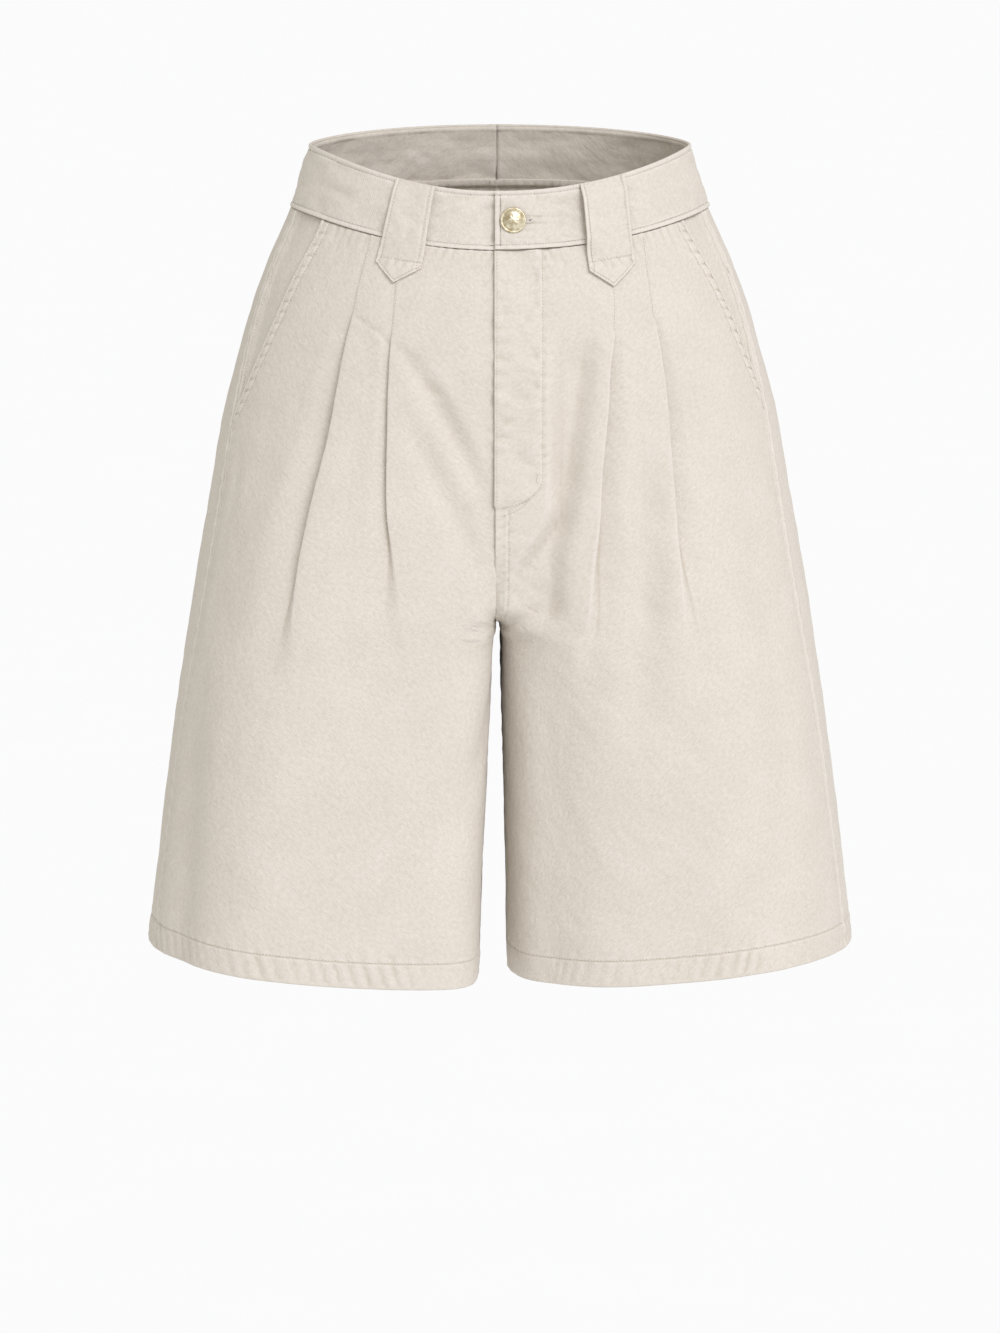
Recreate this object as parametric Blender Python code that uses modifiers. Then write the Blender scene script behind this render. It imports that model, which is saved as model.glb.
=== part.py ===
"""Pleated bermuda shorts in washed cotton twill, worn shape, one object for each cut piece.

Units are metres, +Z up. The front faces -Y and the wearer's left is +X. The origin is the
middle of the waistband ring, halfway up the band at the side seams.
"""
import math

import bmesh
import bpy
import numpy as np
from mathutils import Matrix, Vector

# ---- cloth and seams
CLOTH = 0.0010           # wall of one layer of twill
HEM_WALL = 0.0024        # the hem is turned up twice
BAND_WALL = 0.0024       # the waistband is two layers and its interfacing
LOOP_WALL = 0.0020       # a belt loop is a folded strip
SEAM = 0.0002            # each piece stops this far short of its seam line
CLEAR = 0.00035          # air between two layers that lie on each other

# ---- main heights, measured down from the waist seam at the side
SEAM_LEVEL = -0.0215
BAND_HEIGHT = 0.0415
HEM_DROP = 0.4975
HEM_HEIGHT = 0.0180
CROTCH_LEVEL = -0.2945
HEM_TILT = 0.0240        # the hem hangs this much lower at the inseam than at the side

FRONT, BACK = "front", "back"
LEFT, RIGHT = 1, -1      # the wearer's left is +X
SIDE_NAMES = {LEFT: "left", RIGHT: "right"}

# ---- outline of the worn shorts, outer face of the cloth, half of each level section; seam is
# ---- how far the side seam lies ahead of the middle
SECTIONS = (
    # level, half_width, front, back, front_dip, back_rise, seam
    (0.0200, 0.1270, 0.0965, 0.0990, 0.0262, 0.0080, 0.0260),
    (-0.0010, 0.1340, 0.0995, 0.1020, 0.0245, 0.0080, 0.0265),
    (-0.0215, 0.1402, 0.1030, 0.1065, 0.0228, 0.0080, 0.0270),
    (-0.0650, 0.1590, 0.1130, 0.1220, 0.0190, 0.0065, 0.0290),
    (-0.1055, 0.1724, 0.1185, 0.1350, 0.0150, 0.0045, 0.0325),
    (-0.1595, 0.1860, 0.1225, 0.1430, 0.0085, 0.0015, 0.0380),
    (-0.2140, 0.1960, 0.1240, 0.1440, 0.0030, 0.0000, 0.0435),
    (-0.2685, 0.2059, 0.1240, 0.1400, 0.0000, 0.0000, 0.0505),
    (-0.3233, 0.2145, 0.1235, 0.1340, 0.0000, 0.0000, 0.0545),
    (-0.4060, 0.2260, 0.1230, 0.1290, 0.0000, 0.0000, 0.0530),
    (-0.4750, 0.2343, 0.1230, 0.1270, 0.0000, 0.0000, 0.0490),
    (-0.5250, 0.2403, 0.1235, 0.1270, 0.0000, 0.0000, 0.0480),
)
# ---- each leg below the crotch; gap is the air between the legs, centre is where it lies,
# ---- inseam is how far it lies ahead of the middle, and the last two columns are how square
# ---- the inner front and back corners are
LEGS = (
    # level, gap, centre, front, back, inseam, inner_front, inner_back
    (-0.1400, 0.0006, -0.0022, 0.1238, 0.1440, 0.0000, 9.8, 5.0),
    (-0.2500, 0.0006, -0.0022, 0.1238, 0.1405, 0.0000, 9.2, 4.3),
    (-0.3050, 0.0006, -0.0022, 0.1238, 0.1350, 0.0000, 8.4, 3.6),
    (-0.3110, 0.0044, -0.0024, 0.1236, 0.1342, 0.0020, 8.2, 3.5),
    (-0.3400, 0.0062, -0.0029, 0.1230, 0.1305, 0.0190, 8.0, 3.1),
    (-0.4000, 0.0112, -0.0035, 0.1215, 0.1255, 0.0400, 7.6, 2.7),
    (-0.4600, 0.0164, -0.0043, 0.1200, 0.1225, 0.0490, 7.2, 2.6),
    (-0.5250, 0.0195, -0.0051, 0.1195, 0.1220, 0.0520, 7.0, 2.6),
)
INNER_SQUARE = {LEFT: 0.50, RIGHT: 1.0}                      # share of that squareness in front
CROTCH = {FRONT: (0.2500, 0.2835), BACK: (0.1700, 0.2835)}   # drops where the rise turns under
LEG_BLEND = (0.12, 0.36)                                     # drops where hips become a leg
INNER_BLEND = {FRONT: 0.205, BACK: 0.13}                     # and the same at the centre line
TORSO_POWER = 2.1                                            # roundness of the ovals; more is
LEG_POWER = 2.35                                             # squarer
CROTCH_POWER = {FRONT: 3.0, BACK: 2.3}
DIP_POWER = {LEFT: 2.1, RIGHT: 2.6}
RISE_POWER = 1.6
INNER_SHARE = (0.60, 0.98)      # across, where the centre line's blend takes over from the side's
INSEAM_STRETCH = 12             # how close to the inseam a row's extra length lies

# ---- pleats: where the folded edge lies, how far the cloth runs under it, the hollow beside it
PLEATS = {
    RIGHT: (
        (   # outer pleat: drop, across, under, valley, ridge, width
            (0.000, 0.446, 0.0100, 0.0029, 0.0000, 0.012),
            (0.055, 0.451, 0.0100, 0.0029, 0.0000, 0.014),
            (0.085, 0.445, 0.0095, 0.0045, 0.0008, 0.022),
            (0.140, 0.438, 0.0060, 0.0055, 0.0022, 0.030),
            (0.200, 0.425, 0.0015, 0.0045, 0.0026, 0.034),
            (0.260, 0.424, 0.0000, 0.0025, 0.0016, 0.036),
            (0.320, 0.430, 0.0000, 0.0000, 0.0000, 0.036),
        ),
        (   # inner pleat
            (0.000, 0.600, 0.0100, 0.0029, 0.0000, 0.012),
            (0.065, 0.616, 0.0100, 0.0029, 0.0000, 0.014),
            (0.090, 0.621, 0.0095, 0.0042, 0.0008, 0.020),
            (0.145, 0.640, 0.0060, 0.0050, 0.0020, 0.026),
            (0.200, 0.664, 0.0015, 0.0045, 0.0024, 0.030),
            (0.260, 0.706, 0.0000, 0.0025, 0.0015, 0.034),
            (0.320, 0.740, 0.0000, 0.0000, 0.0000, 0.034),
        ),
    ),
    LEFT: (
        (
            (0.000, 0.350, 0.0100, 0.0029, 0.0000, 0.012),
            (0.058, 0.408, 0.0100, 0.0029, 0.0000, 0.014),
            (0.085, 0.410, 0.0095, 0.0040, 0.0008, 0.020),
            (0.145, 0.427, 0.0060, 0.0045, 0.0020, 0.024),
            (0.205, 0.445, 0.0015, 0.0040, 0.0022, 0.028),
            (0.265, 0.460, 0.0000, 0.0022, 0.0014, 0.030),
            (0.320, 0.480, 0.0000, 0.0000, 0.0000, 0.030),
        ),
        (
            (0.000, 0.535, 0.0100, 0.0029, 0.0000, 0.012),
            (0.062, 0.565, 0.0100, 0.0029, 0.0000, 0.014),
            (0.090, 0.606, 0.0090, 0.0040, 0.0010, 0.018),
            (0.145, 0.650, 0.0060, 0.0045, 0.0024, 0.024),
            (0.205, 0.683, 0.0015, 0.0040, 0.0026, 0.028),
            (0.265, 0.728, 0.0000, 0.0022, 0.0015, 0.030),
            (0.320, 0.770, 0.0000, 0.0000, 0.0000, 0.030),
        ),
    ),
}
# ---- one pleat's cross-section, from the lower layer to the folded edge on top
FOLD_PATH = (
    # along, height, share: along the underlap, up the step, through the spread
    (0.00, 0.00, 0.00),
    (0.90, 0.00, 0.25),
    (1.00, 0.25, 0.40),
    (0.90, 0.50, 0.50),
    (0.08, 0.50, 0.60),
    (0.00, 0.75, 0.75),
    (0.08, 1.00, 1.00),
)
FOLD_SPREAD = 0.0120     # width of the same step once it has opened out
FOLD_TIGHT = 0.0006      # and while it is still folded
FOLD_OPEN = 0.0080       # the step opens out as its underlap falls below this
VALLEY_SHARES = (0.0, 0.35, 0.70)   # where the columns lie across the hollow beside a fold

FOLD_CALM = 0.020        # soft folds have died away this near a seam
# ---- soft folds that hang in the legs; a negative depth is a hollow
FRONT_FOLDS = {
    RIGHT: (
        # drop, across, end_drop, end_across, width, depth
        (0.230, 0.100, 0.480, 0.260, 0.016, -0.0030),
        (0.230, 0.000, 0.480, 0.120, 0.020, 0.0025),
        (0.075, 0.680, 0.200, 0.960, 0.012, -0.0015),
    ),
    LEFT: (
        (0.250, 0.180, 0.450, 0.280, 0.016, -0.0018),
        (0.250, 0.500, 0.480, 0.560, 0.022, -0.0018),
        (0.070, 0.690, 0.300, 0.850, 0.016, -0.0020),
    ),
}
BACK_FOLDS = {
    RIGHT: (
        (0.200, 0.320, 0.480, 0.380, 0.022, -0.0030),
        (0.260, 0.560, 0.480, 0.580, 0.024, -0.0025),
        (0.240, 0.450, 0.470, 0.480, 0.020, 0.0020),
    ),
    LEFT: (
        (0.190, 0.340, 0.470, 0.400, 0.022, -0.0028),
        (0.270, 0.580, 0.480, 0.600, 0.024, -0.0025),
        (0.250, 0.470, 0.480, 0.500, 0.020, 0.0022),
    ),
}

# ---- slanted pocket openings: distance of the opening from the side seam at the waist
POCKET = {
    # side: (width at the waist seam, drop where the opening meets the side seam)
    RIGHT: (0.035, 0.140),
    LEFT: (0.024, 0.130),
}
POCKET_UNDER = 0.016     # the facing runs this far under the opening
POCKET_FOOT = 0.010      # and this far below its lower end
POCKET_BOW = 0.05        # how much the opening bows
FACING_ROWS, FACING_COLUMNS = 10, 6
SEAM_UNDER = 0.0010      # and this far under the back at the side seam

# ---- fly
FLY_WIDTH = 0.0300
FLY_END = (0.1650, 0.1870)      # drops between which the stitched J turns in to the centre
FLY_RAISE = 0.0008              # step at the J
FLY_LAP_RAISE = 0.00140         # height of the lapping edge
FLY_LAP = 0.0015                # how far it laps past the centre
SHIELD_WIDTH = (-0.0070, 0.0300)
SHIELD_FOOT = 0.1900
SHIELD_ROWS, SHIELD_COLUMNS = 8, 5
FLY_FOOT_TURN = 0.94            # how far round its quarter turn the J is carried
FLY_MIDDLE_RAISE = 0.0011       # height halfway between the J and the lapping edge
FLY_STEP = 0.0020               # width of the step at the J

# ---- waistband ends
LAP_EDGE = -0.0035              # x of the lapping end
UNDERLAP_EDGE = 0.0310          # x of the end beneath
LAP_RISE = 0.0010
UNDERLAP_DIP = 0.0017
LAP_SLOPE = 0.0110              # length over which the band rises or dips
UNDERLAP_SPARE = 0.0020         # the rise is done this far before the end beneath
LAP_SPARE = 0.0010              # and the dip this far before the lapping end
BAND_BACK_POINTS = 17
BAND_SIDE_POINTS = 8
BAND_END_POINTS = {LEFT: 15, RIGHT: 17}
BAND_END_LENGTH = 0.0475        # front stretch that takes the closer points
BAND_POINT_GAP = 0.0050
BAND_DROPS = (1.0, 0.66, 0.33)  # shares of the band's height above the waist seam
BAND_PROUD = 0.0004             # the band stands this much above the panels

# ---- button, in the band's middle
BUTTON_X = 0.0105
BUTTON_DROP = -0.0205
BUTTON_RADIUS = 0.0085
BUTTON_RIM = 0.0011
BUTTON_DOME = 0.0022
BUTTON_LIP = 0.0012             # width of the rim round the dome
DOME_STEPS, BUTTON_STEPS = 7, 28
SHANK_RADIUS = 0.0016
HOLE_RADIUS = 0.0022
SLIT_HALF = 0.0006
SLIT_END = 0.0230
CUT_DEPTH = 0.0100

# ---- front belt loops: across at the top, across at the shoulders, drop there, tip
FRONT_LOOPS = {
    # side: (top from, top to, foot from, foot to, shoulder drop, tip across, tip drop)
    RIGHT: (0.527, 0.713, 0.498, 0.692, 0.0170, 0.590, 0.0291),
    LEFT: (0.405, 0.618, 0.438, 0.629, 0.0193, 0.546, 0.0321),
}
LOOP_STAND = 0.0030             # air for the belt under a loop
LOOP_TACK = 0.0120              # a front loop is sewn down from this far above its shoulders
FRONT_LOOP_ROWS = (0.0, 0.12, 0.24, 0.40, 0.56, 0.66, 0.76, 0.88, 1.0)
BACK_LOOP_ROWS = (0.0, 0.12, 0.25, 0.45, 0.60, 0.72, 0.82, 1.0)
BACK_LOOP_HALF = 0.0075
BACK_LOOP_FOOT = 0.0120

# ---- how finely each piece is divided
SAMPLES = 241
LEG_DROPS = (0.2835, 0.287, 0.292, 0.300, 0.315, 0.335, 0.370, 0.410, 0.450)
FRONT_DROPS = (0.020, 0.040, 0.057, 0.070, 0.090, 0.115, 0.140, 0.165, 0.178, 0.188, 0.210,
               0.2335, 0.250, 0.259, 0.268, 0.276, 0.281) + LEG_DROPS
BACK_DROPS = (0.020, 0.040, 0.070, 0.105, 0.140, 0.175, 0.205, 0.2335, 0.250,
              0.262, 0.271, 0.278, 0.2815) + LEG_DROPS
SIDE_COLUMNS, BETWEEN_COLUMNS, CENTRE_COLUMNS = 6, 4, 6
RIDGE_FADE = 1.25               # a pleat's ridge has gone this much before the next one
CORNER_INSET = 0.009            # how near a leg's inner wall its corner columns lie
CORNER_BEFORE = (0.34, 0.62, 0.84, 1.0)
CORNER_AFTER = (0.10, 0.40, 1.0)
BACK_COLUMNS = 18

COLOURS = {
    # name: (colour, roughness, metallic)
    "twill": ((0.745, 0.680, 0.590), 0.92, 0.0),
    "brass": ((0.720, 0.610, 0.360), 0.32, 1.0),
}


def smooth(value):
    value = np.clip(value, 0.0, 1.0)
    return value * value * (3.0 - 2.0 * value)


def table_curve(table, column, at):
    """A smooth curve through one column of a table, read at the given first column."""
    rows = sorted(table)
    x = np.array([row[0] for row in rows])
    y = np.array([row[column] for row in rows])
    at = np.clip(at, x[0], x[-1])
    chord = np.diff(y) / np.diff(x)
    both = chord[1:] * chord[:-1]
    total = np.where(both > 0, chord[1:] + chord[:-1], 1.0)
    between = np.where(both > 0, 2 * both / total, 0.0)
    slope = np.concatenate([[chord[0]], between, [chord[-1]]])
    i = np.clip(np.searchsorted(x, at) - 1, 0, len(x) - 2)
    step = x[i + 1] - x[i]
    t = (at - x[i]) / step
    start = (2 * t**3 - 3 * t**2 + 1) * y[i] + (t**3 - 2 * t**2 + t) * step * slope[i]
    end = (3 * t**2 - 2 * t**3) * y[i + 1] + (t**3 - t**2) * step * slope[i + 1]
    return start + end


def oval(angle, half_width, front, back, outer, inner_front, inner_back):
    """A rounded oval; angle 0 is the side, a quarter turn on is the front, then the inner side."""
    c = np.cos(angle)
    s = np.sin(angle)
    depth = np.where(s > 0, front, back)
    power = np.where(c > 0, outer, np.where(s > 0, inner_front, inner_back))
    reach = (np.abs(c / half_width) ** power + np.abs(s / depth) ** power) ** (-1 / power)
    return reach * c, -reach * s


def oval_angle(ahead, half_width, depth, power):
    """Angle at which an oval lies that far ahead of its middle."""
    x = half_width * (1 - (ahead / depth) ** power) ** (1 / power)
    return math.atan2(ahead, x)


def run_along(points):
    """Distance run along a curve at each of its points."""
    steps = np.linalg.norm(np.diff(points, axis=0), axis=1)
    return np.concatenate([[0.0], np.cumsum(steps)])


def read_at(run, at, values):
    return np.stack([np.interp(at, run, column) for column in values], axis=-1)


def torso_row(part, side, level, across):
    """One row round the waist or hips, from the side seam to the centre line."""
    half, front, back, dip, rise, seam = [table_curve(SECTIONS, k, level) for k in range(1, 7)]
    toward = 1 if part == FRONT else -1
    first = oval_angle(seam, half, front, TORSO_POWER)
    angle = np.linspace(first, toward * math.pi / 2, 241)
    x, y = oval(angle, half, front, back, TORSO_POWER, TORSO_POWER, TORSO_POWER)
    run = run_along(np.stack([x, y], axis=-1))
    x, y = read_at(run, across * run[-1], (x, y)).T
    lowered = dip * np.clip(-y / front, 0.0, 1.0) ** DIP_POWER[side]
    raised = rise * np.clip(y / back, 0.0, 1.0) ** RISE_POWER
    return x, y, level - lowered + raised, run[-1]


def leg_row(part, side, level, across, torso_length, under):
    """One row round a leg, from the side seam to the inseam, or only part of the way there."""
    half, seam = table_curve(SECTIONS, 1, level), table_curve(SECTIONS, 6, level)
    gap, front, back, inseam = [table_curve(LEGS, k, level) for k in (1, 3, 4, 5)]
    inner_front, inner_back = [table_curve(LEGS, k, level) for k in (6, 7)]
    inner_front = 2 + (inner_front - 2) * INNER_SQUARE[side]
    toward = 1 if part == FRONT else -1
    reach = (half - gap / 2) / 2
    first = oval_angle(seam, reach, front, LEG_POWER)
    last = toward * math.pi - oval_angle(inseam, reach, front, inner_front)
    angle = np.linspace(first, last, 481)
    x, y = oval(angle, reach, front, back, LEG_POWER, inner_front, inner_back)
    x = x + (half + gap / 2) / 2
    run = run_along(np.stack([x, y], axis=-1))
    corner = np.interp(math.pi - math.atan2(front, reach), np.abs(angle), run)
    end = corner + (run[-1] - corner) * under
    at = torso_length * across + (end - torso_length) * across ** INSEAM_STRETCH
    x, y = read_at(run, at, (x, y)).T
    inward = np.clip((half - x) / (half - gap / 2), 0.0, 1.0)
    return x, y, inward


def base_row(part, side, drop):
    """Outer face of the cloth along one row, from the side seam to the centre or the inseam."""
    level = SEAM_LEVEL - drop
    across = np.linspace(0.0, 1.0, SAMPLES)
    x, y, z, length = torso_row(part, side, level, across)
    if drop > LEG_BLEND[0]:
        start, stop = CROTCH[part]
        turn = np.clip((drop - start) / (stop - start), 0.0, 1.0) * math.pi / 2
        under = 1.0 - max(math.cos(turn), 0.0) ** (2 / CROTCH_POWER[part])
        leg_x, leg_y, inward = leg_row(part, side, level, across, length, under)
        at_side = smooth((drop - LEG_BLEND[0]) / (LEG_BLEND[1] - LEG_BLEND[0]))
        at_centre = smooth((drop - INNER_BLEND[part]) / (stop - INNER_BLEND[part]))
        share = smooth((across - INNER_SHARE[0]) / (INNER_SHARE[1] - INNER_SHARE[0]))
        weight = at_side * (1 - share) + at_centre * share
        x = (1 - weight) * x + weight * leg_x
        y = (1 - weight) * y + weight * leg_y
        if drop < stop:
            x = x - x[-1] * across ** INSEAM_STRETCH
        top = SEAM_LEVEL - start
        centre_level = top - (top - CROTCH_LEVEL) * math.sin(turn) ** (2 / CROTCH_POWER[part])
        deepest = SEAM_LEVEL - min(max(drop, start), stop)
        lift = centre_level - deepest
        z = z + min(lift, 0.0) * across ** 3 + max(lift, 0.0) * across ** 6
        z = z - HEM_TILT * smooth((drop - stop) / (HEM_DROP - stop)) * inward
    half = table_curve(SECTIONS, 1, level)
    centre = table_curve(LEGS, 2, level)
    x = side * (x + SEAM) + centre * (1 - np.clip(x / half, 0.0, 1.0))
    return np.stack([x, y, z], axis=-1)


class Row:
    """A row of the base surface with its outward normals, read by distance from the side seam."""

    def __init__(self, part, side, drop):
        above = base_row(part, side, drop - 0.002)
        below = base_row(part, side, drop + 0.002)
        self.points = base_row(part, side, drop)
        along = np.gradient(self.points, axis=0)
        facing = np.cross(along, below - above) * side * (1 if part == FRONT else -1)
        self.normals = facing / np.linalg.norm(facing, axis=1)[:, None]
        self.run = run_along(self.points)
        self.length = self.run[-1]
        self.share = np.linspace(0.0, 1.0, SAMPLES)

        spread = np.abs(self.points[:, 0] - self.points[-1, 0])
        self.corner = float(np.interp(-CORNER_INSET, -spread, self.run))
        start, stop = CROTCH[part]
        self.end = self.length - SEAM * float(smooth((drop - start) / (stop - start)))

    def distance(self, across):
        return float(np.interp(across, self.share, self.run))

    def at(self, distance, height):
        """Point at a distance along the row, moved out from the base surface."""
        distance = np.asarray(distance, dtype=float)
        height = np.asarray(height, dtype=float)[..., None]
        point = read_at(self.run, distance, self.points.T)
        normal = read_at(self.run, distance, self.normals.T)
        first = (self.points[1] - self.points[0]) / self.run[1]
        last = (self.points[-1] - self.points[-2]) / (self.run[-1] - self.run[-2])
        point = point + np.minimum(distance, 0.0)[..., None] * first
        point = point + np.maximum(distance - self.length, 0.0)[..., None] * last
        normal = normal / np.linalg.norm(normal, axis=-1)[..., None]
        return point + normal * height


def fold_height(folds, row, drop, distance):
    """Height of the soft hanging folds at each distance along a row."""
    height = np.zeros(len(distance))
    for start, across, end, end_across, width, depth in folds:
        t = (drop - start) / (end - start)
        middle = row.distance(across + (end_across - across) * np.clip(t, -0.2, 1.2))
        fade = smooth((t + 0.15) / 0.4) * smooth((1.25 - t) / 0.35)
        height += depth * fade * np.exp(-((distance - middle) / width) ** 2)
    return height


def pleat_columns(row, drop, table):
    """Distances and heights over one pleat: the hollow beside it, then the folded cloth."""
    across, under, valley, ridge, width = [table_curve(table, k, drop) for k in range(1, 6)]
    edge = row.distance(across)
    under = max(under, 0.0)
    opened = float(1 - smooth(under / FOLD_OPEN))
    spread = FOLD_SPREAD * opened + FOLD_TIGHT
    hollow = [(edge - width * (1 - t), -valley * float(smooth(t))) for t in VALLEY_SHARES]
    fold = []
    for along, rise, share in FOLD_PATH:
        rise += (float(smooth(share)) - rise) * opened
        place = edge + under * along + spread * (share - 0.5)
        fold.append((place, -valley + (valley + ridge) * rise))
    return hollow + fold, ridge


def pocket_edge(side, drop):
    """Distance of the pocket opening from the side seam."""
    width, end = POCKET[side]
    t = min(max(drop / end, 0.0), 1.0)
    return width * (1 - t) * (1 - POCKET_BOW * t)


def fly_reach(drop):
    """Width of the stitched fly, which turns in to the centre at its foot."""
    start, end = FLY_END
    t = min(max((drop - start) / (end - start), 0.0), FLY_FOOT_TURN)
    return FLY_WIDTH * math.sqrt(1 - t * t)


def inner_columns(row, drop, first, final, count):
    """Places between the inner pleat and the fly, or further down round the leg's inner corner."""
    even = np.linspace(first, final, count + 2)[1:]
    start, stop = CROTCH[FRONT]
    turned = float(smooth((drop - start) / (stop - start)))
    corner = row.corner
    around = np.array([first + (corner - first) * t for t in CORNER_BEFORE]
                      + [corner + (final - corner) * t for t in CORNER_AFTER])
    return even + (around - even) * turned


def front_row(side, drop, wall_depth):
    """Middle of the front panel's cloth along one row."""
    row = Row(FRONT, side, drop)
    outer, _ = pleat_columns(row, drop, PLEATS[side][0])
    inner, _ = pleat_columns(row, drop, PLEATS[side][1])
    start = max(pocket_edge(side, drop), 0.0) + SEAM
    end = row.end
    lapping = side == LEFT and drop < FLY_END[1]
    reach = fly_reach(drop)
    columns = [(place, 0.0) for place in np.linspace(start, outer[0][0], SIDE_COLUMNS + 1)[:-1]]
    columns += outer
    top = outer[-1]
    for t in np.linspace(0, 1, BETWEEN_COLUMNS + 2)[1:-1]:
        fade = 1 - smooth(t * RIDGE_FADE)
        columns.append((top[0] + (inner[0][0] - top[0]) * t, top[1] * fade))
    columns += inner
    top = inner[-1]
    fly_start = end - reach - FLY_STEP
    for place in inner_columns(row, drop, top[0], fly_start, CENTRE_COLUMNS):
        t = (place - top[0]) / (fly_start - top[0])
        columns.append((place, top[1] * (1 - smooth(t * RIDGE_FADE))))
    raised = (FLY_RAISE, FLY_MIDDLE_RAISE, FLY_LAP_RAISE) if lapping else (0.0, 0.0, 0.0)
    lap = FLY_LAP if lapping and drop <= FLY_END[0] else 0.0
    columns.append((end - reach, raised[0]))
    columns.append((end - reach * 0.5, raised[1]))
    columns.append((end + lap, raised[2]))
    distance = np.array([c[0] for c in columns])
    height = np.array([c[1] for c in columns])
    soft = fold_height(FRONT_FOLDS[side], row, drop, distance)
    stiff = FLY_WIDTH if drop < FLY_END[1] + FOLD_CALM / 2 else 0.0
    soft *= smooth((end - stiff - distance) / FOLD_CALM) * smooth(distance / FOLD_CALM)
    return row.at(distance, height + soft - wall_depth)


def back_row(side, drop, wall_depth):
    """Middle of the back panel's cloth along one row."""
    row = Row(BACK, side, drop)
    distance = np.concatenate([[SEAM], np.linspace(SEAM * 20, row.end, BACK_COLUMNS)])
    soft = fold_height(BACK_FOLDS[side], row, drop, distance)
    soft *= smooth((row.length - distance) / FOLD_CALM) * smooth(distance / FOLD_CALM)
    return row.at(distance, soft - wall_depth)


def panel_grid(row_at, side, drops):
    """Rows of a panel from the waist seam to the bottom of the turned-up hem."""
    hem_top = HEM_DROP - HEM_HEIGHT
    rows = [(SEAM, CLOTH / 2)]
    rows += [(drop, CLOTH / 2) for drop in drops]
    rows += [(hem_top - CLOTH, CLOTH / 2), (hem_top, HEM_WALL / 2)]
    rows += [(HEM_DROP - HEM_HEIGHT / 2, HEM_WALL / 2), (HEM_DROP, HEM_WALL / 2)]
    grid = [row_at(side, drop, depth) for drop, depth in rows]
    hem_rows = [len(rows) - 3, len(rows) - 2, len(rows) - 1]
    return grid, hem_rows


def make_material(name):
    colour, roughness, metallic = COLOURS[name]
    material = bpy.data.materials.new(name)
    material.use_nodes = True
    shader = material.node_tree.nodes["Principled BSDF"]
    shader.inputs["Base Color"].default_value = (*colour, 1.0)
    shader.inputs["Roughness"].default_value = roughness
    shader.inputs["Metallic"].default_value = metallic
    return material


def add_mesh(name, bm, material, collection):
    mesh = bpy.data.meshes.new(name)
    bm.to_mesh(mesh)
    bm.free()
    mesh.materials.append(material)
    item = bpy.data.objects.new(name, mesh)
    collection.objects.link(item)
    return item


def sheet_mesh(grid, facing_out):
    """A sheet of cloth lofted through rows of points."""
    bm = bmesh.new()
    rows = [[bm.verts.new(point) for point in row] for row in grid]
    for upper, lower in zip(rows[:-1], rows[1:]):
        for i in range(len(upper) - 1):
            corners = [upper[i], lower[i], lower[i + 1], upper[i + 1]]
            bm.faces.new(corners if facing_out else corners[::-1])
    return bm


def add_sheet(name, grid, facing_out, wall, material, collection, hem_rows=()):
    """A sheet with its wall from Solidify, thicker along the hem's rows."""
    item = add_mesh(name, sheet_mesh(grid, facing_out), material, collection)
    solid = item.modifiers.new("wall", "SOLIDIFY")
    solid.offset = 0.0
    solid.use_even_offset = True
    solid.use_quality_normals = True
    solid.thickness = wall
    if hem_rows:
        width = len(grid[0])
        group = item.vertex_groups.new(name="hem")
        group.add([r * width + c for r in hem_rows for c in range(width)], 1.0, "REPLACE")
        solid.thickness = HEM_WALL
        solid.vertex_group = "hem"
        solid.thickness_vertex_group = wall / HEM_WALL
    item.data.shade_smooth()
    item.data.set_sharp_from_angle(angle=math.radians(50))
    return item


def make_panels(material, collection):
    for side, word in SIDE_NAMES.items():
        grid, hem_rows = panel_grid(front_row, side, FRONT_DROPS)
        add_sheet("front_" + word, grid, side == LEFT, CLOTH, material, collection, hem_rows)
        grid, hem_rows = panel_grid(back_row, side, BACK_DROPS)
        add_sheet("back_" + word, grid, side == RIGHT, CLOTH, material, collection, hem_rows)


def make_pocket_facings(material, collection):
    """The cloth seen outside each slanted opening, one layer below the front."""
    depth = CLOTH * 1.5 + CLEAR * 1.5
    for side, word in SIDE_NAMES.items():
        foot = POCKET[side][1] + POCKET_FOOT
        grid = []
        for drop in np.linspace(SEAM, foot, FACING_ROWS):
            row = Row(FRONT, side, drop)
            inner = pocket_edge(side, drop) + POCKET_UNDER
            distance = np.linspace(-SEAM_UNDER, inner, FACING_COLUMNS)
            grid.append(row.at(distance, np.full(FACING_COLUMNS, -depth)))
        add_sheet("pocket_facing_" + word, grid, side == LEFT, CLOTH, material, collection)


def make_fly_shield(material, collection):
    """The underlap behind the fly opening."""
    depth = CLOTH * 1.5 + CLEAR
    low, high = SHIELD_WIDTH
    grid = []
    for drop in np.linspace(SEAM, SHIELD_FOOT, SHIELD_ROWS):
        row = Row(FRONT, LEFT, drop)
        distance = row.length - np.linspace(high, low, SHIELD_COLUMNS)
        grid.append(row.at(distance, np.full(SHIELD_COLUMNS, -depth)))
    add_sheet("fly_shield", grid, True, CLOTH, material, collection)


def band_height(side, x):
    """Height of the band's middle above the base, with its lapped ends at the centre front."""
    middle = BAND_PROUD - BAND_WALL / 2
    if side == LEFT:
        start = UNDERLAP_EDGE + UNDERLAP_SPARE + LAP_SLOPE
        return middle + LAP_RISE * smooth((start - x) / LAP_SLOPE)
    start = LAP_EDGE - LAP_SPARE - LAP_SLOPE
    return middle - UNDERLAP_DIP * smooth((x - start) / LAP_SLOPE)


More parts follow.
